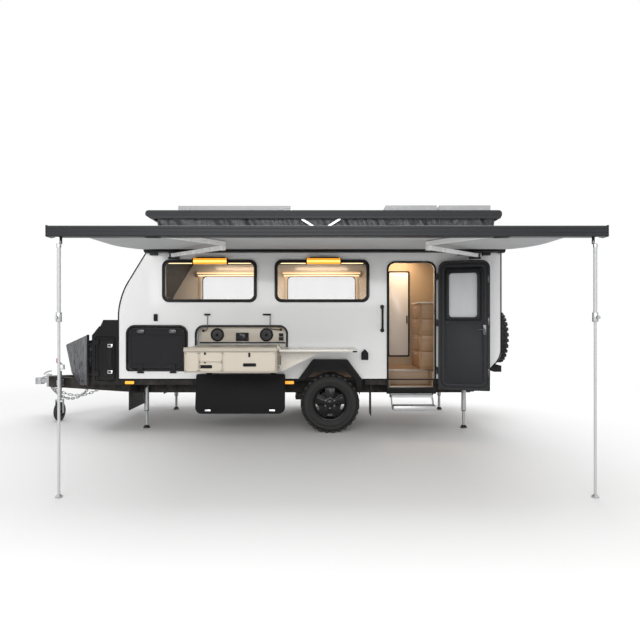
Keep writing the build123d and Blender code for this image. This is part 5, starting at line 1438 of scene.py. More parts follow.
@dataclass
class Hatches:
    """Front hatch with its latches and the let-down door of the kitchen."""

    front_x: Span = (-2559.0, -1827.0)
    kitchen_x: Span = (-1687.0, -557.0)
    z: Span = (810.0, 1347.0)
    sill: float = 838.0
    border: float = 25.0
    corner: float = 90.0
    face: float = -1112.0
    back: float = -1062.0
    axis_y: float = -1116.0
    drop: float = 40.0
    let_down: float = 172.0
    inset: float = 165.0
    gap: float = 8.0

    def build(self) -> None:
        """Build frames, leaves and latches."""
        dress(CHARCOAL, "front_hatch")
        dress(MATT_BLACK, "kitchen_hatch_door")
        self._frames()
        self._front_leaf()
        self._kitchen_leaf()

    def _frames(self) -> None:
        """Raise a glossy bead round both openings."""
        bead = Shape()
        for x, low in ((self.front_x, self.z[0]), (self.kitchen_x, self.sill)):
            wide = inside(x, -self.border)
            tall = (low - self.border, self.z[1] + self.border)
            bead.panel(wide, tall, (self.face - 7, self.face + 1), self.corner + 20, band=self.border - 4,
                       edge=4)
        bead.finish("hatch_beads", "trailer", "black_plastic", GLOSS_BLACK)

    def _latch(self, x: float, z: float, y: float) -> Shape:
        """Make one oval paddle latch that faces the entry side.

        Args:
            x: Middle along X.
            z: Middle along Z.
            y: Face that it sits on.

        Returns:
            The latch in two finishes.
        """
        latch = Shape().panel(spread(x, 46), spread(z, 24), (y - 6, y), 23, edge=3)
        latch.panel(spread(x, 38), spread(z, 17), (y - 8, y - 5), 16, band=5, edge=1.5)
        latch.panel((x - 30, x + 14), spread(z, 12), (y - 10, y - 5), 11, edge=3)
        latch.bar((x + 25, y - 5, z), (x + 25, y - 9, z), 7, slot=1)
        return latch

    def _front_leaf(self) -> None:
        """Mould the border of the front leaf and set its latches and hinge covers."""
        x = inside(self.front_x, self.gap)
        z = inside(self.z, self.gap)
        moulding = Shape().panel(x, z, (self.face - 6, self.face + 1), self.corner - self.gap, band=34,
                                 edge=5)
        moulding.box(inside(x, 40), (self.face - 5, self.face + 1), (z[1] - 104, z[1] - 92), 3)
        moulding.finish("front_hatch_moulding", "hatch_front", "black_plastic", CHARCOAL)
        latches = Shape()
        for at_x in inside(self.front_x, self.inset):
            latches.add(self._latch(at_x, self.z[1] - 56, self.face - 14))
        latches.finish("front_hatch_latches", "hatch_front", "alloy", DARK_CHROME, PLASTIC_BLACK)
        strips = Shape()
        for at_x in inside(self.front_x, 160):
            strips.panel(spread(at_x, 32), (self.z[0] - 22, self.z[0] + 66),
                         (self.face - 17, self.face - 13), 6, edge=1.5)
            spots = [(at_x + dx, self.face - 17, self.z[0] + dz) for dx in (-18, 18) for dz in (20, 50)]
            strips.bolts(spots, Axis.Y, 5, -3)
        strips.finish("front_hatch_hinges", "hatch_front", "black_plastic", CHARCOAL)

    def _kitchen_leaf(self) -> None:
        """Dress the inner face of the let-down door: rim, panel and two slide latches."""
        x = inside(self.kitchen_x, self.gap)
        z = (self.sill + self.gap, self.z[1] - self.gap)
        about = (0, self.axis_y, self.sill - self.drop)
        leaf = Shape().panel(x, z, (self.back - 2, self.back + 5), self.corner - self.gap, band=16, edge=3)
        leaf.panel(inside(x, 34), inside(z, 30), (self.back - 1, self.back + 2), 58, edge=1.5)
        leaf.turn(self.let_down, Axis.X, about)
        leaf.finish("kitchen_door_lining", "trailer", "black_plastic", MATT_BLACK)
        latches = Shape()
        for at_x in inside(self.kitchen_x, self.inset):
            latches.panel(spread(at_x, 36), (z[1] - 52, z[1] - 30), (self.back + 1, self.back + 9), 8,
                          edge=2)
            latches.box(spread(at_x, 12), (self.back + 8, self.back + 14), (z[1] - 48, z[1] - 34), 2)
        latches.turn(self.let_down, Axis.X, about)
        latches.finish("kitchen_door_latches", "trailer", "alloy", CHROME)


@dataclass
class EntryDoor:
    """Entry door standing open: moulded inner face, window surround and edge latches."""

    hinge: Span = (1350.0, -1142.0)
    x: Span = (714.0, 1336.0)
    z: Span = (560.0, 2176.0)
    pane_x: Span = (863.0, 1208.0)
    pane_z: Span = (1466.0, 2021.0)
    inner: float = -1123.0
    open_by: float = 165.0
    latch_zs: Sequence[float] = (784.0, 1415.0, 1944.0)
    handle_z: float = 1320.0

    def build(self) -> None:
        """Build the door's dressing, shut, and swing it open."""
        dress(DOOR_GREY, "entry_door")
        dress(FROST_PANE, "entry_glass")
        self._lining()
        self._metalwork()

    def _finish(self, shape: Shape, name: str, slot: str, *coats: Finish) -> None:
        """Swing a shut piece open and let it ride on the door."""
        shape.turn(self.open_by, Axis.Z, (*self.hinge, 0)).finish(name, "door_entry", slot, *coats)

    def _lining(self) -> None:
        """Mould the border, the lower panel and the surround of the pane."""
        y = self.inner
        lining = Shape().panel(self.x, self.z, (y - 1, y + 5), 100, band=30, edge=3)
        lining.panel((self.x[0] + 36, self.x[1] - 40), inside(self.z, 44), (y - 1, y + 20),
                     74, band=40, edge=9)
        lining.panel((self.x[0] + 92, self.x[1] - 96), (self.z[0] + 100, 1400), (y - 1, y + 9), 46, edge=6)
        x = inside(self.pane_x, -30)
        z = inside(self.pane_z, -30)
        lining.panel(x, z, (y - 1, y + 14), 74, band=34, edge=6)
        self._finish(lining, "door_lining", "charcoal", DOOR_GREY)
        dark = Shape().box(inside(x, -8), (y + 4, y + 34), (z[1] - 26, z[1] + 30), 7)
        for side in inside(x, -12):
            dark.bar((side, y + 16, z[0] - 6), (side, y + 16, z[1] - 10), 6)
        dark.box(inside(x, -4), (y + 6, y + 26), (z[0] - 10, z[0] + 12), 4)
        self._finish(dark, "door_blind", "black_plastic", PLASTIC_BLACK)

    def _metalwork(self) -> None:
        """Set latch plates, the inner handle and the seal."""
        y, left, high = self.inner, self.x[0], self.handle_z
        metal = Shape()
        for z in self.latch_zs:
            metal.panel((left + 4, left + 26), spread(z, 46), (y + 4, y + 5.6), 5, edge=0.6)
            metal.bar((left - 1, y - 12, z), (left + 6, y - 12, z), 7)
        metal.panel((left + 44, left + 84), (high - 70, high + 60), (y + 18, y + 25), 14, edge=3)
        metal.bar((left + 64, y + 24, high), (left + 64, y + 40, high), 9)
        metal.pipe(((left + 64, y + 40, high), (left + 90, y + 42, high), (left + 150, y + 40, high - 8)), 7)
        self._finish(metal, "door_metalwork", "alloy", DARK_CHROME)
        seal = Shape().panel(inside(self.x, 8), inside(self.z, 8), (y + 4.5, y + 6), 94, band=8, edge=0.8)
        self._finish(seal, "door_seal", "grey_rubber", FLAP_RUBBER)


@dataclass
class Doorway:
    """Doorway frame, sill, step and what shows of the cabin behind it."""

    x: Span = (741.0, 1322.0)
    z: Span = (575.0, 2157.0)
    face: float = -1112.0
    step_x: Span = (778.0, 1298.0)
    treads: Sequence[tuple[range, float]] = ((range(-1322, -1160, 13), 371.0),
                                             (range(-1138, -1050, 13), 483.0))
    grab: Span = (661.0, -1150.0)
    grab_zs: Sequence[float] = (1304.0, 1602.0)
    drawer_rows: Sequence[Span] = ((800, 1010), (1018, 1228), (1236, 1446), (1454, 1640))

    def build(self) -> None:
        """Build frame beads, grab handle bands, step treads and cabin fronts."""
        dress(ALLOY, "entry_step")
        self._frame()
        self._step()
        self._cabin()

    def _frame(self) -> None:
        """Bead the doorway and band the grab handle."""
        bead = Shape().panel(inside(self.x, -22), (500, self.z[1] + 22),
                             (self.face - 3, self.face + 1), 105, band=9, edge=1.5)
        bead.box(inside(self.x, -18), (self.face - 2, -1040), (566, 579), 4)
        for z in self.grab_zs:
            bead.bar((*self.grab, z - 13), (*self.grab, z + 13), 15)
            bead.turned(((0, -8), (24, -8), (26, -4), (26, 0)), (self.grab[0], self.grab[1] + 50, z),
                        Axis.Y, 24)
        bead.finish("doorway_beads", "trailer", "black_plastic", GLOSS_BLACK)
        nose = Shape().box(inside(self.x, 20), (-1064, -1044), (580, 584), 1.5)
        nose.box(inside(self.x, 24), (-836, -810), (772, 779), 2)
        nose.finish("sill_nosings", "trailer", "alloy", ALLOY)

    def _step(self) -> None:
        """Rib the two treads of the folding step."""
        ribs = Shape()
        run = inside(self.step_x, 8)
        for rows, z in self.treads:
            for y in rows:
                ribs.box(run, (y, y + 6), (z, z + 5), 1.2, 1)
        ribs.box(inside(run, -4), (-1334, -1326), (322, 378), 3)
        ribs.finish("step_ribs", "step", "alloy", ALLOY)

    def _cabin(self) -> None:
        """Front the cabinet with drawers and frame the wash-room door."""
        dress(OAK, "furniture")
        dress(TAN_BOARD, "ensuite")
        fronts = Shape()
        for low, high in self.drawer_rows:
            fronts.panel((1240, 1880), (low, high), (-708, -689), 10, edge=3)
            fronts.box((1212, 1231), (-680, -70), (low, high), 3)
            fronts.panel((1500, 1620), (high - 52, high - 34), (-716, -706), 8, edge=3, slot=1)
            fronts.box((1204, 1214), (-430, -320), (high - 52, high - 34), 3, slot=1)
        fronts.box((1206, 1897), (-712, -58), (1660, 1680), 5, slot=2)
        fronts.finish("drawer_fronts", "trailer", "ply", OAK, ALLOY, PALE_LINING)
        door = Shape().panel((878, 1200), (892, 2158), (58, 67), 26, band=20, edge=3)
        door.panel((900, 1178), (914, 2136), (60, 67), 14, edge=2, slot=1)
        door.panel((1150, 1168), (1380, 1500), (46, 61), 8, edge=3)
        door.finish("washroom_door", "trailer", "white_panel", PLASTIC_BLACK, WALL_WHITE)
        tread = Shape().box(inside(self.x, 22), (-1058, -817), (580, 592), 3)
        tread.finish("well_tread", "trailer", "floor_board", FLOOR_WOOD)


@dataclass
class Awning:
    """Folding-arm awning: case, sagging cloth, jointed arms, lead rail and poles."""

    middle: float = -70.0
    length: float = 4500.0
    cloth_half: float = 2170.0
    start: Span = (-1215.3, 2318.0)
    end: Span = (-3540.7, 2190.9)
    sag: float = 8.0
    edge_droop: float = 44.0
    slope: float = 3.4
    plane: Point = (-70.0, -1250.0, 2281.0)
    shoulder: float = 1876.0
    elbow: Span = (1043.0, 1265.0)
    wrist: Span = (1430.0, 2260.0)
    rail_y: Span = (-3631.0, -3541.0)
    rail_z: Span = (2104.9, 2194.9)
    pole_xs: Sequence[float] = (-2240.0, 2100.0)
    split: float = 1460.0
    case: Sequence[Span] = ((-1222, 2300), (-1194, 2279), (-1098, 2279), (-1098, 2406), (-1206, 2406),
                            (-1222, 2388))
    case_radii: Sequence[float] = (12, 10, 2, 2, 14, 12)
    bands: Sequence[Span] = ((6, 26), (32, 56), (62, 80))
    clamps: Sequence[float] = (-1480.0, 1340.0)

    def build(self) -> None:
        """Build case, cloth, arms, rail and poles."""
        dress(RAIL_GREY, "awning_case", "awning_rail")
        dress(ARM_WHITE, "arm_upper_left", "arm_upper_right", "arm_fore_left", "arm_fore_right")
        dress(POLE_GREY, "awning_pole_left", "awning_pole_right")
        self._case()
        self._cloth()
        self._arms()
        self._rail()
        self._poles()

    def _case(self) -> None:
        """Cap the case ends and lip its lower edge."""
        half = self.length / 2
        caps = Shape()
        for side in (-1, 1):
            x = self.middle + side * half
            reach = (x - 6, x + 64) if side < 0 else (x - 64, x + 6)
            caps.plate(self.case, self.case_radii, reach, Axis.X, edge=4)
        lip = (self.middle - half + 60, self.middle + half - 60)
        caps.box(lip, (-1223, -1213), (2292, 2310), 3)
        caps.finish("awning_case_caps", "trailer", "black_plastic", PLASTIC_BLACK)

    def _cloth(self) -> None:
        """Hang the cloth between case and rail, its free side edges drooping."""
        shape = Shape()
        bmesh.ops.create_grid(shape.bm, x_segments=86, y_segments=46, size=0.5)
        for vert in shape.bm.verts:
            across, along = vert.co.x * 2, vert.co.y + 0.5
            belly = 4 * along * (1 - along)
            loose = max(0.0, (abs(across) - 0.62) / 0.38) ** 2
            x = self.middle + across * (self.cloth_half - 14 * belly * loose)
            y = self.start[0] + (self.end[0] - self.start[0]) * along
            z = self.start[1] + (self.end[1] - self.start[1]) * along
            fold = ripple(x, y * 0.25, 0, 260) * 3.0 * belly + ripple(x * 0.3, y, 9, 420) * 3.0 * belly
            z -= belly * (self.sag + self.edge_droop * loose) - fold * (0.4 + loose) + 2.5 * belly
            vert.co = (x, y, z)
        bmesh.ops.recalc_face_normals(shape.bm, faces=shape.bm.faces)
        bmesh.ops.solidify(shape.bm, geom=shape.bm.faces[:], thickness=1.6)
        cloth = shape.finish("awning_cloth", "trailer", "awning_cloth", AWNING_CLOTH,
                             replaces=("awning_fabric",))
        along = Vector((0, self.start[0] - self.end[0], self.start[1] - self.end[1])).normalized()
        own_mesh(cloth)

    def _place(self) -> Matrix:
        """Work out the sloping plane that the arms fold in.

        Returns:
            The plane's matrix.
        """
        lean = radians(self.slope)
        turn = Matrix(((1, 0, 0), (0, cos(lean), -sin(lean)), (0, sin(lean), cos(lean)))).to_4x4()
        return Matrix.Translation(self.plane) @ turn

    def _arms(self) -> None:
        """Put knuckles and ribs on the arms."""
        for side, name in ((-1, "left"), (1, "right")):
            shoulder, elbow = (side * self.shoulder, 0), (side * self.elbow[0], -self.elbow[1])
            wrist = (side * self.wrist[0], -self.wrist[1])
            upper = Shape()
            upper.turned(((0, -67), (26, -67), (31, -63), (31, -21), (26, -18), (13, -18)), (*shoulder, 0),
                         Axis.Z, 32)
            upper.turned(((0, -68), (30, -68), (36, -63), (36, -22), (30, -19)), (*elbow, 0), Axis.Z, 32)
            upper.turned(((0, -72), (11, -72), (14, -67)), (*elbow, 0), Axis.Z, 20, slot=1)
            self._rib(upper, shoulder, elbow, -62)
            upper.apply(self._place()).finish(f"arm_upper_trim_{name}", f"upper_{name}", "white_alloy",
                                              ARM_WHITE, ALLOY)
            fore = Shape()
            fore.turned(((12, -17), (30, -17), (35, -13), (35, 16), (30, 20), (14, 20)), (*elbow, 0),
                        Axis.Z, 32)
            fore.turned(((8, -18), (25, -18), (28, -15), (28, 17), (25, 20), (8, 20)), (*wrist, 0), Axis.Z,
                        28)
            self._rib(fore, elbow, wrist, -18)
            fore.apply(self._place()).finish(f"arm_fore_trim_{name}", f"fore_{name}", "white_alloy",
                                             ARM_WHITE)

    @staticmethod
    def _rib(shape: Shape, start: Span, end: Span, face: float) -> None:
        """Lay one flat rib along the underside of an arm.

        Args:
            shape: Shape that takes the rib.
            start: One pivot in the plane.
            end: Other pivot in the plane.
            face: Height of the arm's underside.
        """
        run = Vector(end) - Vector(start)
        rib = Shape().box((60, run.length - 60), (-14, 14), (face - 2.5, face + 1), 1.2)
        rib.turn(atan2(run.y, run.x) * 180 / pi, Axis.Z)
        shape.add(rib.shift(start[0], start[1], 0))

    def _rail(self) -> None:
        """Clad the lead rail's face in three bands and cap its ends."""
        half = self.length / 2
        run = (self.middle - half + 2, self.middle + half - 2)
        low = self.rail_z[0]
        clad = Shape()
        for base, top in self.bands:
            clad.box(run, (self.rail_y[0] - 3, self.rail_y[0] + 2), (low + base, low + top), 1.4)
        for end in (run[0] - 8, run[1] - 2):
            clad.panel((end, end + 10), (low - 2, self.rail_z[1] + 2),
                       (self.rail_y[0] - 4, self.rail_y[1] + 3), 4, edge=3, slot=1)
        for x in self.clamps:
            clad.box(spread(x, 60), inside(self.rail_y, 20), (low - 6, low + 1), 2, slot=1)
        clad.finish("awning_rail_bands", "lead_rail", "dark_alloy", RAIL_GREY, PLASTIC_BLACK)

    def _poles(self) -> None:
        """Give each pole its clamp collar, knob and foot."""
        y = sum(self.rail_y) / 2
        for x, name in zip(self.pole_xs, ("left", "right")):
            fitting = Shape()
            z = self.split
            fitting.turned(((15.4, -40), (20, -40), (23, -36), (23, 32), (20, 38), (15.4, 38)), (x, y, z),
                           Axis.Z, 28)
            fitting.bar((x, y - 20, z - 4), (x, y - 44, z - 4), 7)
            fitting.turned(((0, -60), (13, -60), (15, -56), (15, -46), (11, -42)), (x, y, z - 4), Axis.Y, 18)
            fitting.turned(((0, 0), (28, 0), (29, 4), (29, 9), (24, 13), (13, 26), (11.2, 26)), (x, y, 0.2),
                           Axis.Z, 28)
            fitting.turned(((15.2, 0), (18, 2), (18, 34), (15.2, 36)), (x, y, 2020), Axis.Z, 24)
            fitting.finish(f"pole_fittings_{name}", f"pole_{name}", "alloy", ALLOY)
            cheek = Shape().panel(spread(x, 18), (2050, 2103), (y - 30, y - 26), 8, edge=1.5)
            cheek.bolts([(x, y - 30, 2069)], Axis.Y, 7, -5)
            cheek.finish(f"pole_cheek_{name}", "lead_rail", "white_alloy", ARM_WHITE)


@dataclass
class PopTop:
    """Pop-top: creased tent skirt, roof rim, lift bars and solar panels."""

    skirt_x: Span = (-2212.0, 2115.0)
    skirt_y: float = 1035.0
    skirt_z: Span = (2400.0, 2800.0)
    skirt_grid: tuple[int, int] = (640, 16)
    fold_out: float = 6.0
    fold_rest: float = 26.0
    roof_x: Span = (-2346.0, 2185.0)
    roof_y: float = 1090.0
    roof_z: Span = (2725.0, 2830.0)
    rib_ys: Sequence[float] = (-700.0, -350.0, 0.0, 350.0, 700.0)
    panel_z: Span = (2878.0, 2940.0)
    panels: Sequence[tuple[Span, Span]] = (((738, 1406), (-850, 630)), ((1445, 2113), (-850, 630)),
                                           ((-1997, -517), (-820, -150)))

    def build(self) -> None:
        """Build skirt, roof and panels."""
        dress(ROOF_GREY, "roof_shell")
        dress(ALLOY, "lift_bars_front", "lift_bars_rear")
        dress(POLE_GREY, "solar_panels")
        self._skirt()
        self._roof()
        self._solar()

    def _wall_point(self, run: float) -> tuple[float, float, float, float]:
        """Give a point and the outward way at a distance round the skirt.

        Args:
            run: Distance from the front left corner.

        Returns:
            X, Y and the two parts of the outward way.
        """
        long, wide = self.skirt_x[1] - self.skirt_x[0], 2 * self.skirt_y
        if run < long:
            return self.skirt_x[0] + run, -self.skirt_y, 0, -1
        if run < long + wide:
            return self.skirt_x[1], -self.skirt_y + run - long, 1, 0
        if run < 2 * long + wide:
            return self.skirt_x[1] - (run - long - wide), self.skirt_y, 0, 1
        return self.skirt_x[0], self.skirt_y - (run - 2 * long - wide), -1, 0

    def _skirt(self) -> None:
        """Hang the tent skirt in upright folds, pinned at roof and body."""
        around = 2 * (self.skirt_x[1] - self.skirt_x[0]) + 4 * self.skirt_y
        steps, rows = self.skirt_grid
        shape = Shape()
        bmesh.ops.create_grid(shape.bm, x_segments=steps, y_segments=rows, size=0.5)
        for vert in shape.bm.verts:
            share = min(vert.co.x + 0.5, 1.0)
            up = vert.co.y + 0.5
            run = 0.0 if share > 0.9999 else share * around
            x, y, out_x, out_y = self._wall_point(run)
            free = sin(pi * up) ** 0.6 if 0 < up < 1 else 0.0
            fold = ripple(run + 190 * up, 40 * up, 3, 85) * 38 + ripple(run - 120 * up, up * 200, 5, 190) * 18
            crush = ripple(run + 60 * up, up * 300, 8, 60) * 6
            depth = free * min(fold + crush - self.fold_rest, self.fold_out)
            z = self.skirt_z[0] + up * (self.skirt_z[1] - self.skirt_z[0])
            vert.co = (x + out_x * depth, y + out_y * depth, z)
        bmesh.ops.remove_doubles(shape.bm, verts=shape.bm.verts, dist=0.5)
        bmesh.ops.recalc_face_normals(shape.bm, faces=shape.bm.faces)
        area = sum(face.calc_area() for face in shape.bm.faces) / 1e6
        bmesh.ops.solidify(shape.bm, geom=shape.bm.faces[:], thickness=1.5)
        skirt = shape.finish("tent_skirt", "trailer", "vinyl", SKIRT_VINYL, replaces=("roof_skirt",))
        height = (self.skirt_z[1] - self.skirt_z[0]) / 1000
        area / height
        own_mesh(skirt)

    def _roof(self) -> None:
        """Bead the rim of the roof and rib its top."""
        rim = Shape()
        x, y = self.roof_x, self.roof_y
        corners = ((x[0] - 3, -y - 3), (x[1] + 3, -y - 3), (x[1] + 3, y + 3), (x[0] - 3, y + 3))
        for z, deep in ((self.roof_z[0] + 42, 10), (self.roof_z[1] - 34, 8)):
            rim.plate(corners, (30,) * 4, (z, z + deep), Axis.Z, band=12, edge=2.5)
        for across in self.rib_ys:
            rim.box((x[0] + 160, x[1] - 90), spread(across, 24),
                    (self.roof_z[1] - 1, self.roof_z[1] + 7), 4)
        rim.finish("roof_rim", "roof", "roof_grey", ROOF_GREY)

    def _solar(self) -> None:
        """Frame the panels, lay their glass and clamp them to their feet."""
        glass = Shape()
        frames = Shape()
        for x, y in self.panels:
            inner_x, inner_y = inside(x, 14), inside(y, 14)
            glass.box(inner_x, inner_y, (self.panel_z[1] - 2, self.panel_z[1] + 0.8), 0.6, 1)
            corners = ((x[0] - 1, y[0] - 1), (x[1] + 1, y[0] - 1), (x[1] + 1, y[1] + 1), (x[0] - 1, y[1] + 1))
            frames.plate(corners, (4,) * 4, (self.panel_z[1] - 34, self.panel_z[1] + 1.5), Axis.Z, band=14,
                         edge=1.5)
            for clip in inside(x, 120):
                for edge in (y[0] - 8, y[1] - 6):
                    foot_z = (self.panel_z[0] - 46, self.panel_z[0] + 24)
                    frames.box(spread(clip, 30), (edge, edge + 14), foot_z, 2)
                frames.bolts([(clip, y[0] - 8, self.panel_z[0] + 6)], Axis.Y, 6, -4)
        glass.finish("solar_glass", "roof", "solar", SOLAR_GLASS)
        frames.finish("solar_frames", "roof", "alloy", POLE_GREY)


@dataclass
class Kitchen:
    """Pull-out kitchen, its facia with speakers and media unit, and the side table."""

    x: Span = (-1647.0, -615.0)
    front: float = -1890.0
    z: Span = (852.0, 1108.0)
    fronts: Sequence[tuple[Span, Span]] = (((10, 161), (7, 220)), ((166, 426), (7, 110)),
                                           ((166, 426), (115, 220)), ((431, 1022), (7, 220)))
    slots: Sequence[Span] = ((-1408.0, 912.0), (-915.0, 932.0))
    latches: Sequence[tuple[float, Span]] = ((-1414.0, (1046, 1072)), (-1414.0, (949, 962)),
                                             (-918.0, (1020, 1070)))
    panel_y: float = -1000.0
    facia: tuple[Span, Span] = ((-1658.0, -584.0), (1154.0, 1352.0))
    speakers: Sequence[float] = (-1444.0, -814.0)
    speaker_z: float = 1245.0
    table_x: Span = (-588.0, 300.0)
    table_y: Span = (-1870.0, -1300.0)
    table_z: Span = (1082.0, 1100.0)

    def build(self) -> None:
        """Build fronts, facia and table."""
        dress(CREAM, "kitchen_unit")
        dress(TABLE_PALE, "side_table", "table_gusset")
        self._drawers()
        self._facia()
        self._table()

    def _drawers(self) -> None:
        """Face the drawers and fit slot pulls, latches and trims."""
        y = self.front - 16
        face = Shape()
        for (x0, x1), (z0, z1) in self.fronts:
            run = (self.x[0] + x0 + 3, self.x[0] + x1 - 3)
            face.panel(run, (self.z[0] + z0 + 3, self.z[0] + z1 - 3), (y - 4, y + 1), 5, band=12, edge=1.5)
        for x in (self.x[0] + 163.5, self.x[0] + 428.5, self.x[0] + 4, self.x[1] - 4):
            face.box(spread(x, 3.5), spread(y, 6), (self.z[0] + 2, self.z[1] - 30), 1.5, slot=2)
        face.box((self.x[0] - 4, self.x[1] + 2), spread(y, 8), (self.z[0] - 8, self.z[0] + 5), 3, slot=2)
        face.box((self.x[0] - 8, self.x[1] + 6), (y - 10, y + 4), (self.z[1] - 26, self.z[1] + 2), 5, slot=2)
        face.box((self.x[0] - 9, self.x[1] + 7), (y - 2, y + 20), (self.z[1] + 13, self.z[1] + 18), 2, slot=2)
        for x, z in self.slots:
            face.panel(spread(x, 74), spread(z, 19), (y - 5, y + 1), 12, band=7, edge=2, slot=1)
            face.panel(spread(x, 67), spread(z, 12), (y + 2, y + 9), 6, edge=1, slot=1)
        for x, (low, high) in self.latches:
            face.panel(spread(x, 11), (low, high), (y - 9, y - 2), 6, edge=2, slot=1)
            face.bar((x, y - 8, (low + high) / 2), (x, y - 15, (low + high) / 2), 6, slot=1)
        face.finish("kitchen_faces", "trailer", "stainless", CREAM, PLASTIC_BLACK, CREAM_TRIM)

    def _speaker(self, unit: Shape, x: float, y: float) -> None:
        """Add one round speaker with ring, cone and grille.

        Args:
            unit: Shape that takes it.
            x: Middle along X.
            y: Face that it sits on.
        """
        z = self.speaker_z
        unit.turned(((66, -4), (68, -13), (74, -17), (82, -15), (86, -8), (86, 1)), (x, y, z), Axis.Y, 48,
                    slot=1)
        unit.turned(((0, -13), (30, -12), (67, -8)), (x, y, z), Axis.Y, 48, slot=3)
        unit.turned(((0, -17), (14, -16), (20, -12.5)), (x, y, z), Axis.Y, 28, slot=1)

    def _facia(self) -> None:
        """Build the board behind the kitchen with everything on it."""
        y = self.panel_y - 14
        (x0, x1), (z0, z1) = self.facia
        unit = Shape().box((-1717, -527), (self.panel_y, self.panel_y + 15), (775, 1355), 2)
        unit.panel((x0, x1), (z0, z1), (y, self.panel_y - 0.3), 16, edge=4, slot=4)
        unit.panel((x0 + 10, x1 - 10), (z0 + 10, z1 - 10), (y - 2, y + 1), 12, band=4, edge=1, slot=4)
        unit.box((x0 - 12, x1 + 12), (y - 3, self.panel_y - 1), (z0 - 20, z0 - 3), 2, slot=1)
        for x in self.speakers:
            self._speaker(unit, x, y)
        unit.panel((-1206, -1043), (1166, 1272), (y - 12, y), 8, edge=3, slot=1)
        unit.panel((-1196, -1086), (1182, 1260), (y - 14, y - 11), 5, edge=1, slot=5)
        unit.turned(((0, -26), (12, -26), (15, -23), (15, -12)), (-1064, y, 1240), Axis.Y, 24, slot=1)
        for z in (1178, 1194):
            unit.panel((-1076, -1052), (z, z + 9), (y - 14, y - 11), 2, edge=0.8, slot=5)
        for low in (1222, 1172):
            unit.panel((-655, -596), (low, low + 44), (y - 10, y), 6, edge=2, slot=1)
            for x in (-642, -618):
                unit.panel(spread(x, 8), (low + 11, low + 33), (y - 13, y - 9), 3, edge=1, slot=5)
        self._goosenecks(unit, y)
        unit.finish("kitchen_facia", "trailer", "white_panel", WALL_WHITE, PLASTIC_BLACK, DARK_CHROME,
                    SPEAKER_MESH, CREAM, GLOSS_BLACK, replaces=("kitchen_panel",))

    @staticmethod
    def _goosenecks(unit: Shape, y: float) -> None:
        """Add the two bent reading lamps.

        Args:
            unit: Shape that takes them.
            y: Face that they sit on.
        """
        lamp_y, low, high = -1145.0, 1322.0, 1503.0
        for (x, z), stem, head in (((-1621, 1298), -1545, (-1582, -1510)),
                                   ((-629, 1311), -756, (-845, -745))):
            unit.turned(((0, -28), (12, -28), (16, -24), (16, 0)), (x, y, z), Axis.Y, 24, slot=1)
            knee = (stem, lamp_y, low)
            unit.pipe(((x, y - 20, z), ((x + stem) / 2, (y + lamp_y) / 2, z), knee, (stem, lamp_y, low + 60),
                       (stem, lamp_y, high)), 6, slot=2)
            unit.bar((head[0], lamp_y, high), (head[1], lamp_y, high), 11, slot=1)
            unit.bar((head[0] - 3, lamp_y, high), (head[0] + 14, lamp_y, high), 13, slot=2)

    def _table(self) -> None:
        """Edge the table and fit its end catch."""
        x, y, z = self.table_x, self.table_y, self.table_z
        edge = Shape()
        corners = ((x[0], y[0] - 3), (x[1] + 3, y[0] - 3), (x[1] + 3, y[1] + 3), (x[0], y[1] + 3))
        edge.plate(corners, (4, 26, 26, 4), (z[0] - 3, z[1] + 2), Axis.Z, band=16, edge=3)
        edge.box((x[1] - 60, x[1] - 10), (y[0] - 9, y[0] + 4), (z[0] - 12, z[0] + 6), 3, slot=1)
        for rib in (y[0] + 150, (y[0] + y[1]) / 2, y[1] - 150):
            edge.box((x[0] + 70, x[1] - 20), spread(rib, 14), (z[0] - 10, z[0] + 1), 3)
        edge.finish("table_edge", "table", "stainless", TABLE_PALE, PLASTIC_BLACK)


def reach(node: str) -> tuple[Span, Span, Span]:
    """Give the X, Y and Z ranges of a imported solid, in millimetres from the axle."""
    low, high = (((Vector(corner) - ORIGIN) * 1000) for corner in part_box(node))
    return (low.x, high.x), (low.y, high.y), (low.z, high.z)


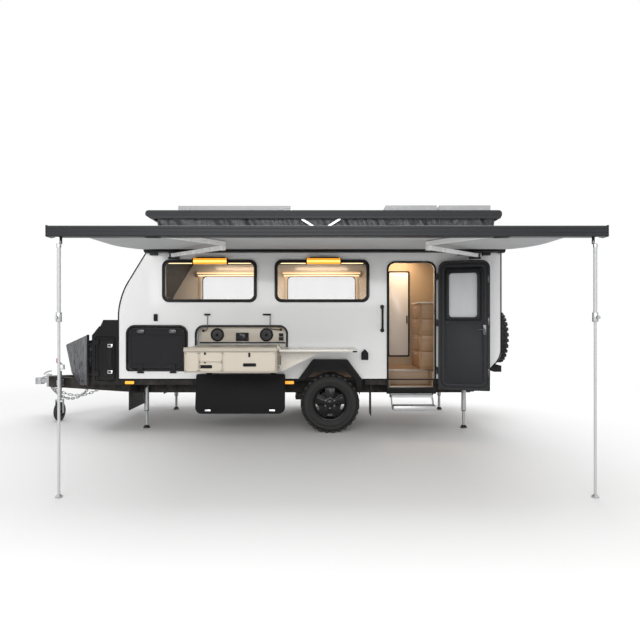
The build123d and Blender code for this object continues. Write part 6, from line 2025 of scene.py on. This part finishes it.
@dataclass
class Wheels:
    """Mud tyres on five-spoke rims, the spare and the bolted flares."""

    radius: float = 375.0
    track: float = 985.0
    lugs: int = 28
    spokes: int = 5
    nuts: int = 6
    nut_ring: float = 65.0
    spare: Point = (2400.0, 0.0, 1186.0)

    def build(self) -> None:
        """Build both road wheels, the spare and the flare bolts."""
        dress(PLASTIC_BLACK, "wheel_arches")
        tyre, rim = self._tyre(), self._rim()
        for side, name in ((-1, "left"), (1, "right")):
            for shape, kind, slot, coats in ((tyre, "tyre", "tyre", (TYRE_RUBBER,)),
                                             (rim, "rim", "black_rim", (RIM_BLACK, DARK_CHROME))):
                piece = shape.twin() if side < 0 else shape.mirrored()
                piece.shift(0, side * self.track, self.radius)
                piece.finish(f"{kind}_dressed_{name}", f"wheel_{name}", slot, *coats,
                             replaces=(f"{kind}_{name}",))
        spare = tyre.add(rim.paint(1)).turn(90, Axis.Z).shift(*self.spare)
        spare.finish("spare_dressed", "trailer", "tyre", TYRE_RUBBER, RIM_BLACK, replaces=("spare_wheel",))
        self._flare_bolts()

    def _tyre(self) -> Shape:
        """Turn the carcass with sidewall rings and stud it with lugs.

        Returns:
            The tyre, facing the entry side.
        """
        wall = ((205, 80), (212, 96), (224, 108), (250, 119), (272, 121), (276, 124.5), (282, 124.5),
                (286, 122), (314, 120), (318, 122), (324, 121), (340, 112), (352, 100), (360, 84),
                (363, 40))
        tyre = Shape().turned([(r, -y) for r, y in wall] + [(r, y) for r, y in reversed(wall)], (0, 0, 0),
                              Axis.Y, 112, loop=True)
        pitch = 360 / self.lugs
        for i in range(self.lugs):
            for low, high, base, lean, step in ((64, 123, 344, 5, 0), (8, 60, 358, -14, 0.5),
                                                (-60, -8, 358, -14, 0), (-123, -64, 344, 5, 0.5)):
                deep = 26 if i % 2 else 22
                lug = Shape().box((-deep, deep), (low, high), (base, self.radius - 0.6), 4, 1)
                lug.turn(lean, Axis.Z, (0, (low + high) / 2, 0))
                tyre.add(lug.turn((i + step) * pitch, Axis.Y))
        return tyre

    def _rim(self) -> Shape:
        """Turn the barrel and set dished spokes, hub, cap and nuts.

        Returns:
            The rim, facing the entry side.
        """
        rim = Shape().turned(((205, -103), (212, -105), (215.5, -100), (212, -91), (202, -84), (198, -50),
                              (192, 0), (198, 70), (212, 100), (206, 100), (190, 70), (184, 0), (190, -50),
                              (196, -88)), (0, 0, 0), Axis.Y, 80, loop=True)
        for i in range(self.spokes):
            spoke = Shape().plate(((-40, 58), (40, 58), (62, 130), (70, 200), (-70, 200), (-62, 130)),
                                  (8, 8, 60, 12, 12, 60), (-86, -64), edge=8, segments=3)
            spoke.plate(((-17, 72), (17, 72), (34, 186), (-34, 186)), (8, 8, 12, 12), (-91, -84), edge=3)
            spoke.turn(-5, Axis.X, (0, -75, 60))
            rim.add(spoke.turn(360 / self.spokes * i, Axis.Y))
        rim.turned(((0, -40), (84, -44), (86, -72), (80, -82), (52, -84), (47, -88), (46, -97), (40, -101),
                    (0, -102)), (0, 0, 0), Axis.Y, 48)
        turns = [2 * pi / self.nuts * i for i in range(self.nuts)]
        spots = [(self.nut_ring * sin(turn), -82, self.nut_ring * cos(turn)) for turn in turns]
        return rim.bolts(spots, Axis.Y, 9.5, -13, slot=1)

    @staticmethod
    def _flare_bolts() -> None:
        """Bolt the flares along their borders."""
        path = ((-392, 690), (-212, 924), (212, 924), (392, 690))
        spots = []
        for (x0, z0), (x1, z1) in zip(path, path[1:]):
            spots += [(x0 + (x1 - x0) * t, -1171, z0 + (z1 - z0) * t) for t in (0.12, 0.5, 0.88)]
        Shape().bolts(spots, Axis.Y, 8, -6).both().finish("flare_bolts", "trailer", "black_plastic",
                                                          GLOSS_BLACK)


@dataclass
class Drawbar:
    """Front box, vinyl stone guard, coupling and jockey wheel."""

    post: Point = (-3111.0, -1000.0, 592.0)
    post_top: float = 1234.0
    nose: tuple[Point, Point] = ((-3831.0, -30.0, 1067.0), (-3745.0, -30.0, 652.0))
    dip: float = 70.0
    cover_height: float = 0.55

    def build(self) -> None:
        """Dress the front end."""
        dress(BOX_BLACK, "front_toolbox", "toolbox_door")
        dress(ZINC, "hitch_coupling", "jockey_post", "jockey_fork", "safety_chains")
        dress(FLAP_RUBBER, "jockey_wheel")
        self._guard()
        self._box()
        self._jockey()

    def _guard(self) -> None:
        """Stretch the guard cover over its frame in slack folds with a dipping hem."""
        shape = Shape()
        bmesh.ops.create_grid(shape.bm, x_segments=56, y_segments=36, size=0.5)
        top, low = Vector((*self.post[:2], self.post_top)), Vector(self.post)
        out = (Vector(self.nose[0]) - top).cross(Vector((0, 0, 1))).normalized()
        out = out if out.y < 0 else -out
        for vert in shape.bm.verts:
            run, up = vert.co.x + 0.5, vert.co.y + 0.5
            spot = (low.lerp(top, up)).lerp(Vector(self.nose[1]).lerp(Vector(self.nose[0]), up), run)
            hem = max(0.0, 1 - up * 3.5) ** 2 * sin(pi * min(max((run - 0.08) / 0.84, 0), 1))
            slack = sin(pi * run) * (0.35 + 0.65 * sin(pi * min(up + 0.15, 1)))
            fold = ripple(run * 700, up * 420, 2, 150) * 26
            fold += ripple(run * 900 + up * 500, up * 300, 6, 75) * 15
            vert.co = spot + out * (17 + slack * (fold - 18)) + Vector((0, 0, -self.dip * hem))
        bmesh.ops.recalc_face_normals(shape.bm, faces=shape.bm.faces)
        area = 2 * sum(face.calc_area() for face in shape.bm.faces) / 1e6
        bmesh.ops.solidify(shape.bm, geom=shape.bm.faces[:], thickness=2.0)
        cover = shape.both().finish("guard_cover", "trailer", "vinyl", GUARD_VINYL,
                                    replaces=("stone_guard_cover",))
        area / self.cover_height

    @staticmethod
    def _box() -> None:
        """Press a panel into the box door and fit two latches and a seal line."""
        x, y, z = reach("toolbox_door")
        face = y[0] + 12
        door = Shape().panel((x[0] + 40, x[1] - 10), inside(z, 12), (face - 3, face + 1), 14, band=7,
                             edge=1.5)
        door.panel((x[0] + 70, x[1] - 40), inside(z, 46), (face - 3, face + 1), 20, edge=2)
        for high in inside(z, 110):
            door.panel((x[1] - 88, x[1] - 26), spread(high, 22), (face - 16, face - 11), 7, edge=2, slot=1)
            door.panel((x[1] - 78, x[1] - 46), spread(high, 12), (face - 20, face - 15), 5, edge=1.5)
        door.finish("box_door_dressing", "box_door", "black_alloy", BOX_BLACK, CHROME)

    @staticmethod
    def _jockey() -> None:
        """Fit the winding handle with its red knob, and the coupling lever."""
        x, y, z = reach("jockey_post")
        mid = (sum(x) / 2, sum(y) / 2, z[1])
        crank = Shape().bar(mid, (mid[0], mid[1], mid[2] + 14), 16)
        crank.pipe((mid, (mid[0], mid[1], mid[2] + 26), (mid[0], mid[1] - 70, mid[2] + 30),
                    (mid[0], mid[1] - 118, mid[2] + 30)), 7)
        crank.turned(((0, 78), (10, 78), (15, 70), (14, 20), (10, 10)), (mid[0], mid[1] - 116, mid[2] + 20),
                     Axis.Z, 24, slot=1)
        crank.finish("jockey_crank", "trailer", "galvanised", ZINC, KNOB_RED)
        x, y, z = reach("hitch_coupling")
        lever = Shape().pipe(((x[0] + 120, 0, z[1] - 6), (x[0] + 150, 0, z[1] + 34),
                              (x[0] + 230, 0, z[1] + 44)), 9)
        lever.bolts([(x[1] - 60, side * 28, z[1] - 12) for side in (-1, 1)], Axis.Z, 9, 14)
        lever.finish("coupling_lever", "trailer", "galvanised", ZINC)


@dataclass
class Underbody:
    """Springs, dampers, tanks, flaps, leg feet and the rear lamps."""

    coil: tuple[float, float] = (-150.0, 790.0)
    coil_z: Span = (350.0, 600.0)
    turns: int = 5
    legs: Sequence[float] = (-2437.0, 1788.0)
    leg_y: float = 745.0
    rear: float = 2205.0

    def build(self) -> None:
        """Build springs, feet and lamps and dress what hangs below."""
        dress(TANK_BLACK, "water_tanks")
        dress(FLAP_RUBBER, "mud_flaps")
        dress(ZINC, "leg_front_left", "leg_front_right", "leg_rear_left", "leg_rear_right")
        self._springs()
        self._feet()
        self._lamps()

    def _springs(self) -> None:
        """Wind a coil and set two dampers beside each wheel."""
        x, y = self.coil
        low, high = self.coil_z
        wire = Shape()
        bmesh.ops.create_circle(wire.bm, segments=10, radius=8)
        wire.turn(90, Axis.X).shift(58, 0, 0)
        steps = 26 * self.turns
        bmesh.ops.spin(wire.bm, geom=wire.bm.verts[:] + wire.bm.edges[:], cent=(0, 0, 0), axis=(0, 0, 1),
                       angle=2 * pi * self.turns, steps=steps, dvec=(0, 0, (high - low) / steps),
                       use_duplicate=False)
        bmesh.ops.recalc_face_normals(wire.bm, faces=wire.bm.faces)
        unit = wire.shift(x, y, low)
        for shift in (-95, 95):
            unit.bar((x + shift, y, low - 10), (x + shift * 0.8, y, low + 130), 21)
            unit.bar((x + shift * 0.8, y, low + 120), (x + shift * 0.6, y, high + 20), 27)
        unit.turned(((0, 0), (72, 0), (74, 8), (30, 12)), (x, y, low - 14), Axis.Z, 32)
        unit.both().finish("springs_and_dampers", "trailer", "black_steel", STEEL_BLACK)

    def _feet(self) -> None:
        """Put a conical foot and a collar on each stabiliser leg."""
        for x, end in zip(self.legs, ("front", "rear")):
            for side, name in ((-1, "left"), (1, "right")):
                foot = Shape().turned(((0, 0), (44, 0), (45, 5), (42, 12), (27, 34), (21.5, 38)),
                                      (x, side * self.leg_y, 0.1), Axis.Z, 32)
                y = side * self.leg_y
                foot.turned(((20.5, 0), (27, 2), (28, 8), (28, 24), (25.3, 28)), (x, y, 222), Axis.Z, 28)
                foot.turned(((25.4, 0), (31, 3), (31, 296), (25.4, 300)), (x, y, 232), Axis.Z, 32, slot=1)
                foot.finish(f"leg_foot_{end}_{name}", f"stay_{end}_{name}", "black_plastic", PLASTIC_BLACK,
                            ZINC)

    def _lamps(self) -> None:
        """Lay red and clear lenses on the tail lamps and a black rim round them."""
        lamp = Shape()
        for (low, high), slot in (((868, 1002), 0), ((770, 860), 1)):
            points = ((low, 1018), (high, 1018), (high, 1092), (low, 1092))
            lamp.plate(points, (10,) * 4, (self.rear - 2, self.rear + 5), Axis.X, edge=2.5, slot=slot)
        rim = ((756, 1006), (1014, 1006), (1014, 1104), (756, 1104))
        lamp.plate(rim, (16,) * 4, (2175, self.rear + 3), Axis.X, band=12, edge=2.5, slot=2)
        lamp.both().finish("tail_lenses", "trailer", "amber", RED_LENS, CLEAR_LENS, PLASTIC_BLACK)


@dataclass
class Bed:
    """Quilted mattress on the bed deck, seen through the windows."""

    x: Span = (-2480.0, -640.0)
    y: Span = (-930.0, 1010.0)
    z: Span = (1415.0, 1590.0)
    quilt: float = 230.0

    def build(self) -> None:
        """Shape a crowned, tufted mattress with pulled-in sides."""
        shape = Shape()
        bmesh.ops.create_cube(shape.bm, size=1.0)
        bmesh.ops.subdivide_edges(shape.bm, edges=shape.bm.edges[:], cuts=40, use_grid_fill=True)
        for vert in shape.bm.verts:
            u, v, w = (c * 2 for c in vert.co)
            round_off = 1 - 0.035 * max(abs(w) - 0.5, 0) * 2
            waist = 1 - 0.006 * (1 - w * w)
            x = sum(self.x) / 2 + u * (self.x[1] - self.x[0]) / 2 * round_off * waist
            y = sum(self.y) / 2 + v * (self.y[1] - self.y[0]) / 2 * round_off * waist
            tuft = abs(sin(pi * x / self.quilt)) * abs(sin(pi * y / self.quilt))
            crown = (1 - u ** 6) * (1 - v ** 6)
            drop = (22 - 14 * tuft ** 0.5) + 26 * (1 - crown) if w > 0 else 0
            z = sum(self.z) / 2 + w * (self.z[1] - self.z[0]) / 2 - drop * max(w, 0) ** 3
            vert.co = (x, y, z)
        mattress = shape.finish("mattress_quilted", "trailer", "quilt", MATTRESS_CLOTH,
                                replaces=("mattress",), angle=80)


def main() -> None:
    """Dress the trailer piece by piece."""
    logging.basicConfig(level=logging.INFO, format="%(name)s: %(message)s")
    dress(STEEL_BLACK, "chassis", "stone_guard_frame", "suspension", "rear_bar")
    for part in (BodyShell(), Windows(), Hatches(), EntryDoor(), Doorway(), Awning(), PopTop(), Kitchen(),
                 Wheels(), Drawbar(), Underbody(), Bed(), Studio()):
        part.build()
        LOG.info("%s done", type(part).__name__)


if __name__ == "__main__":
    main()
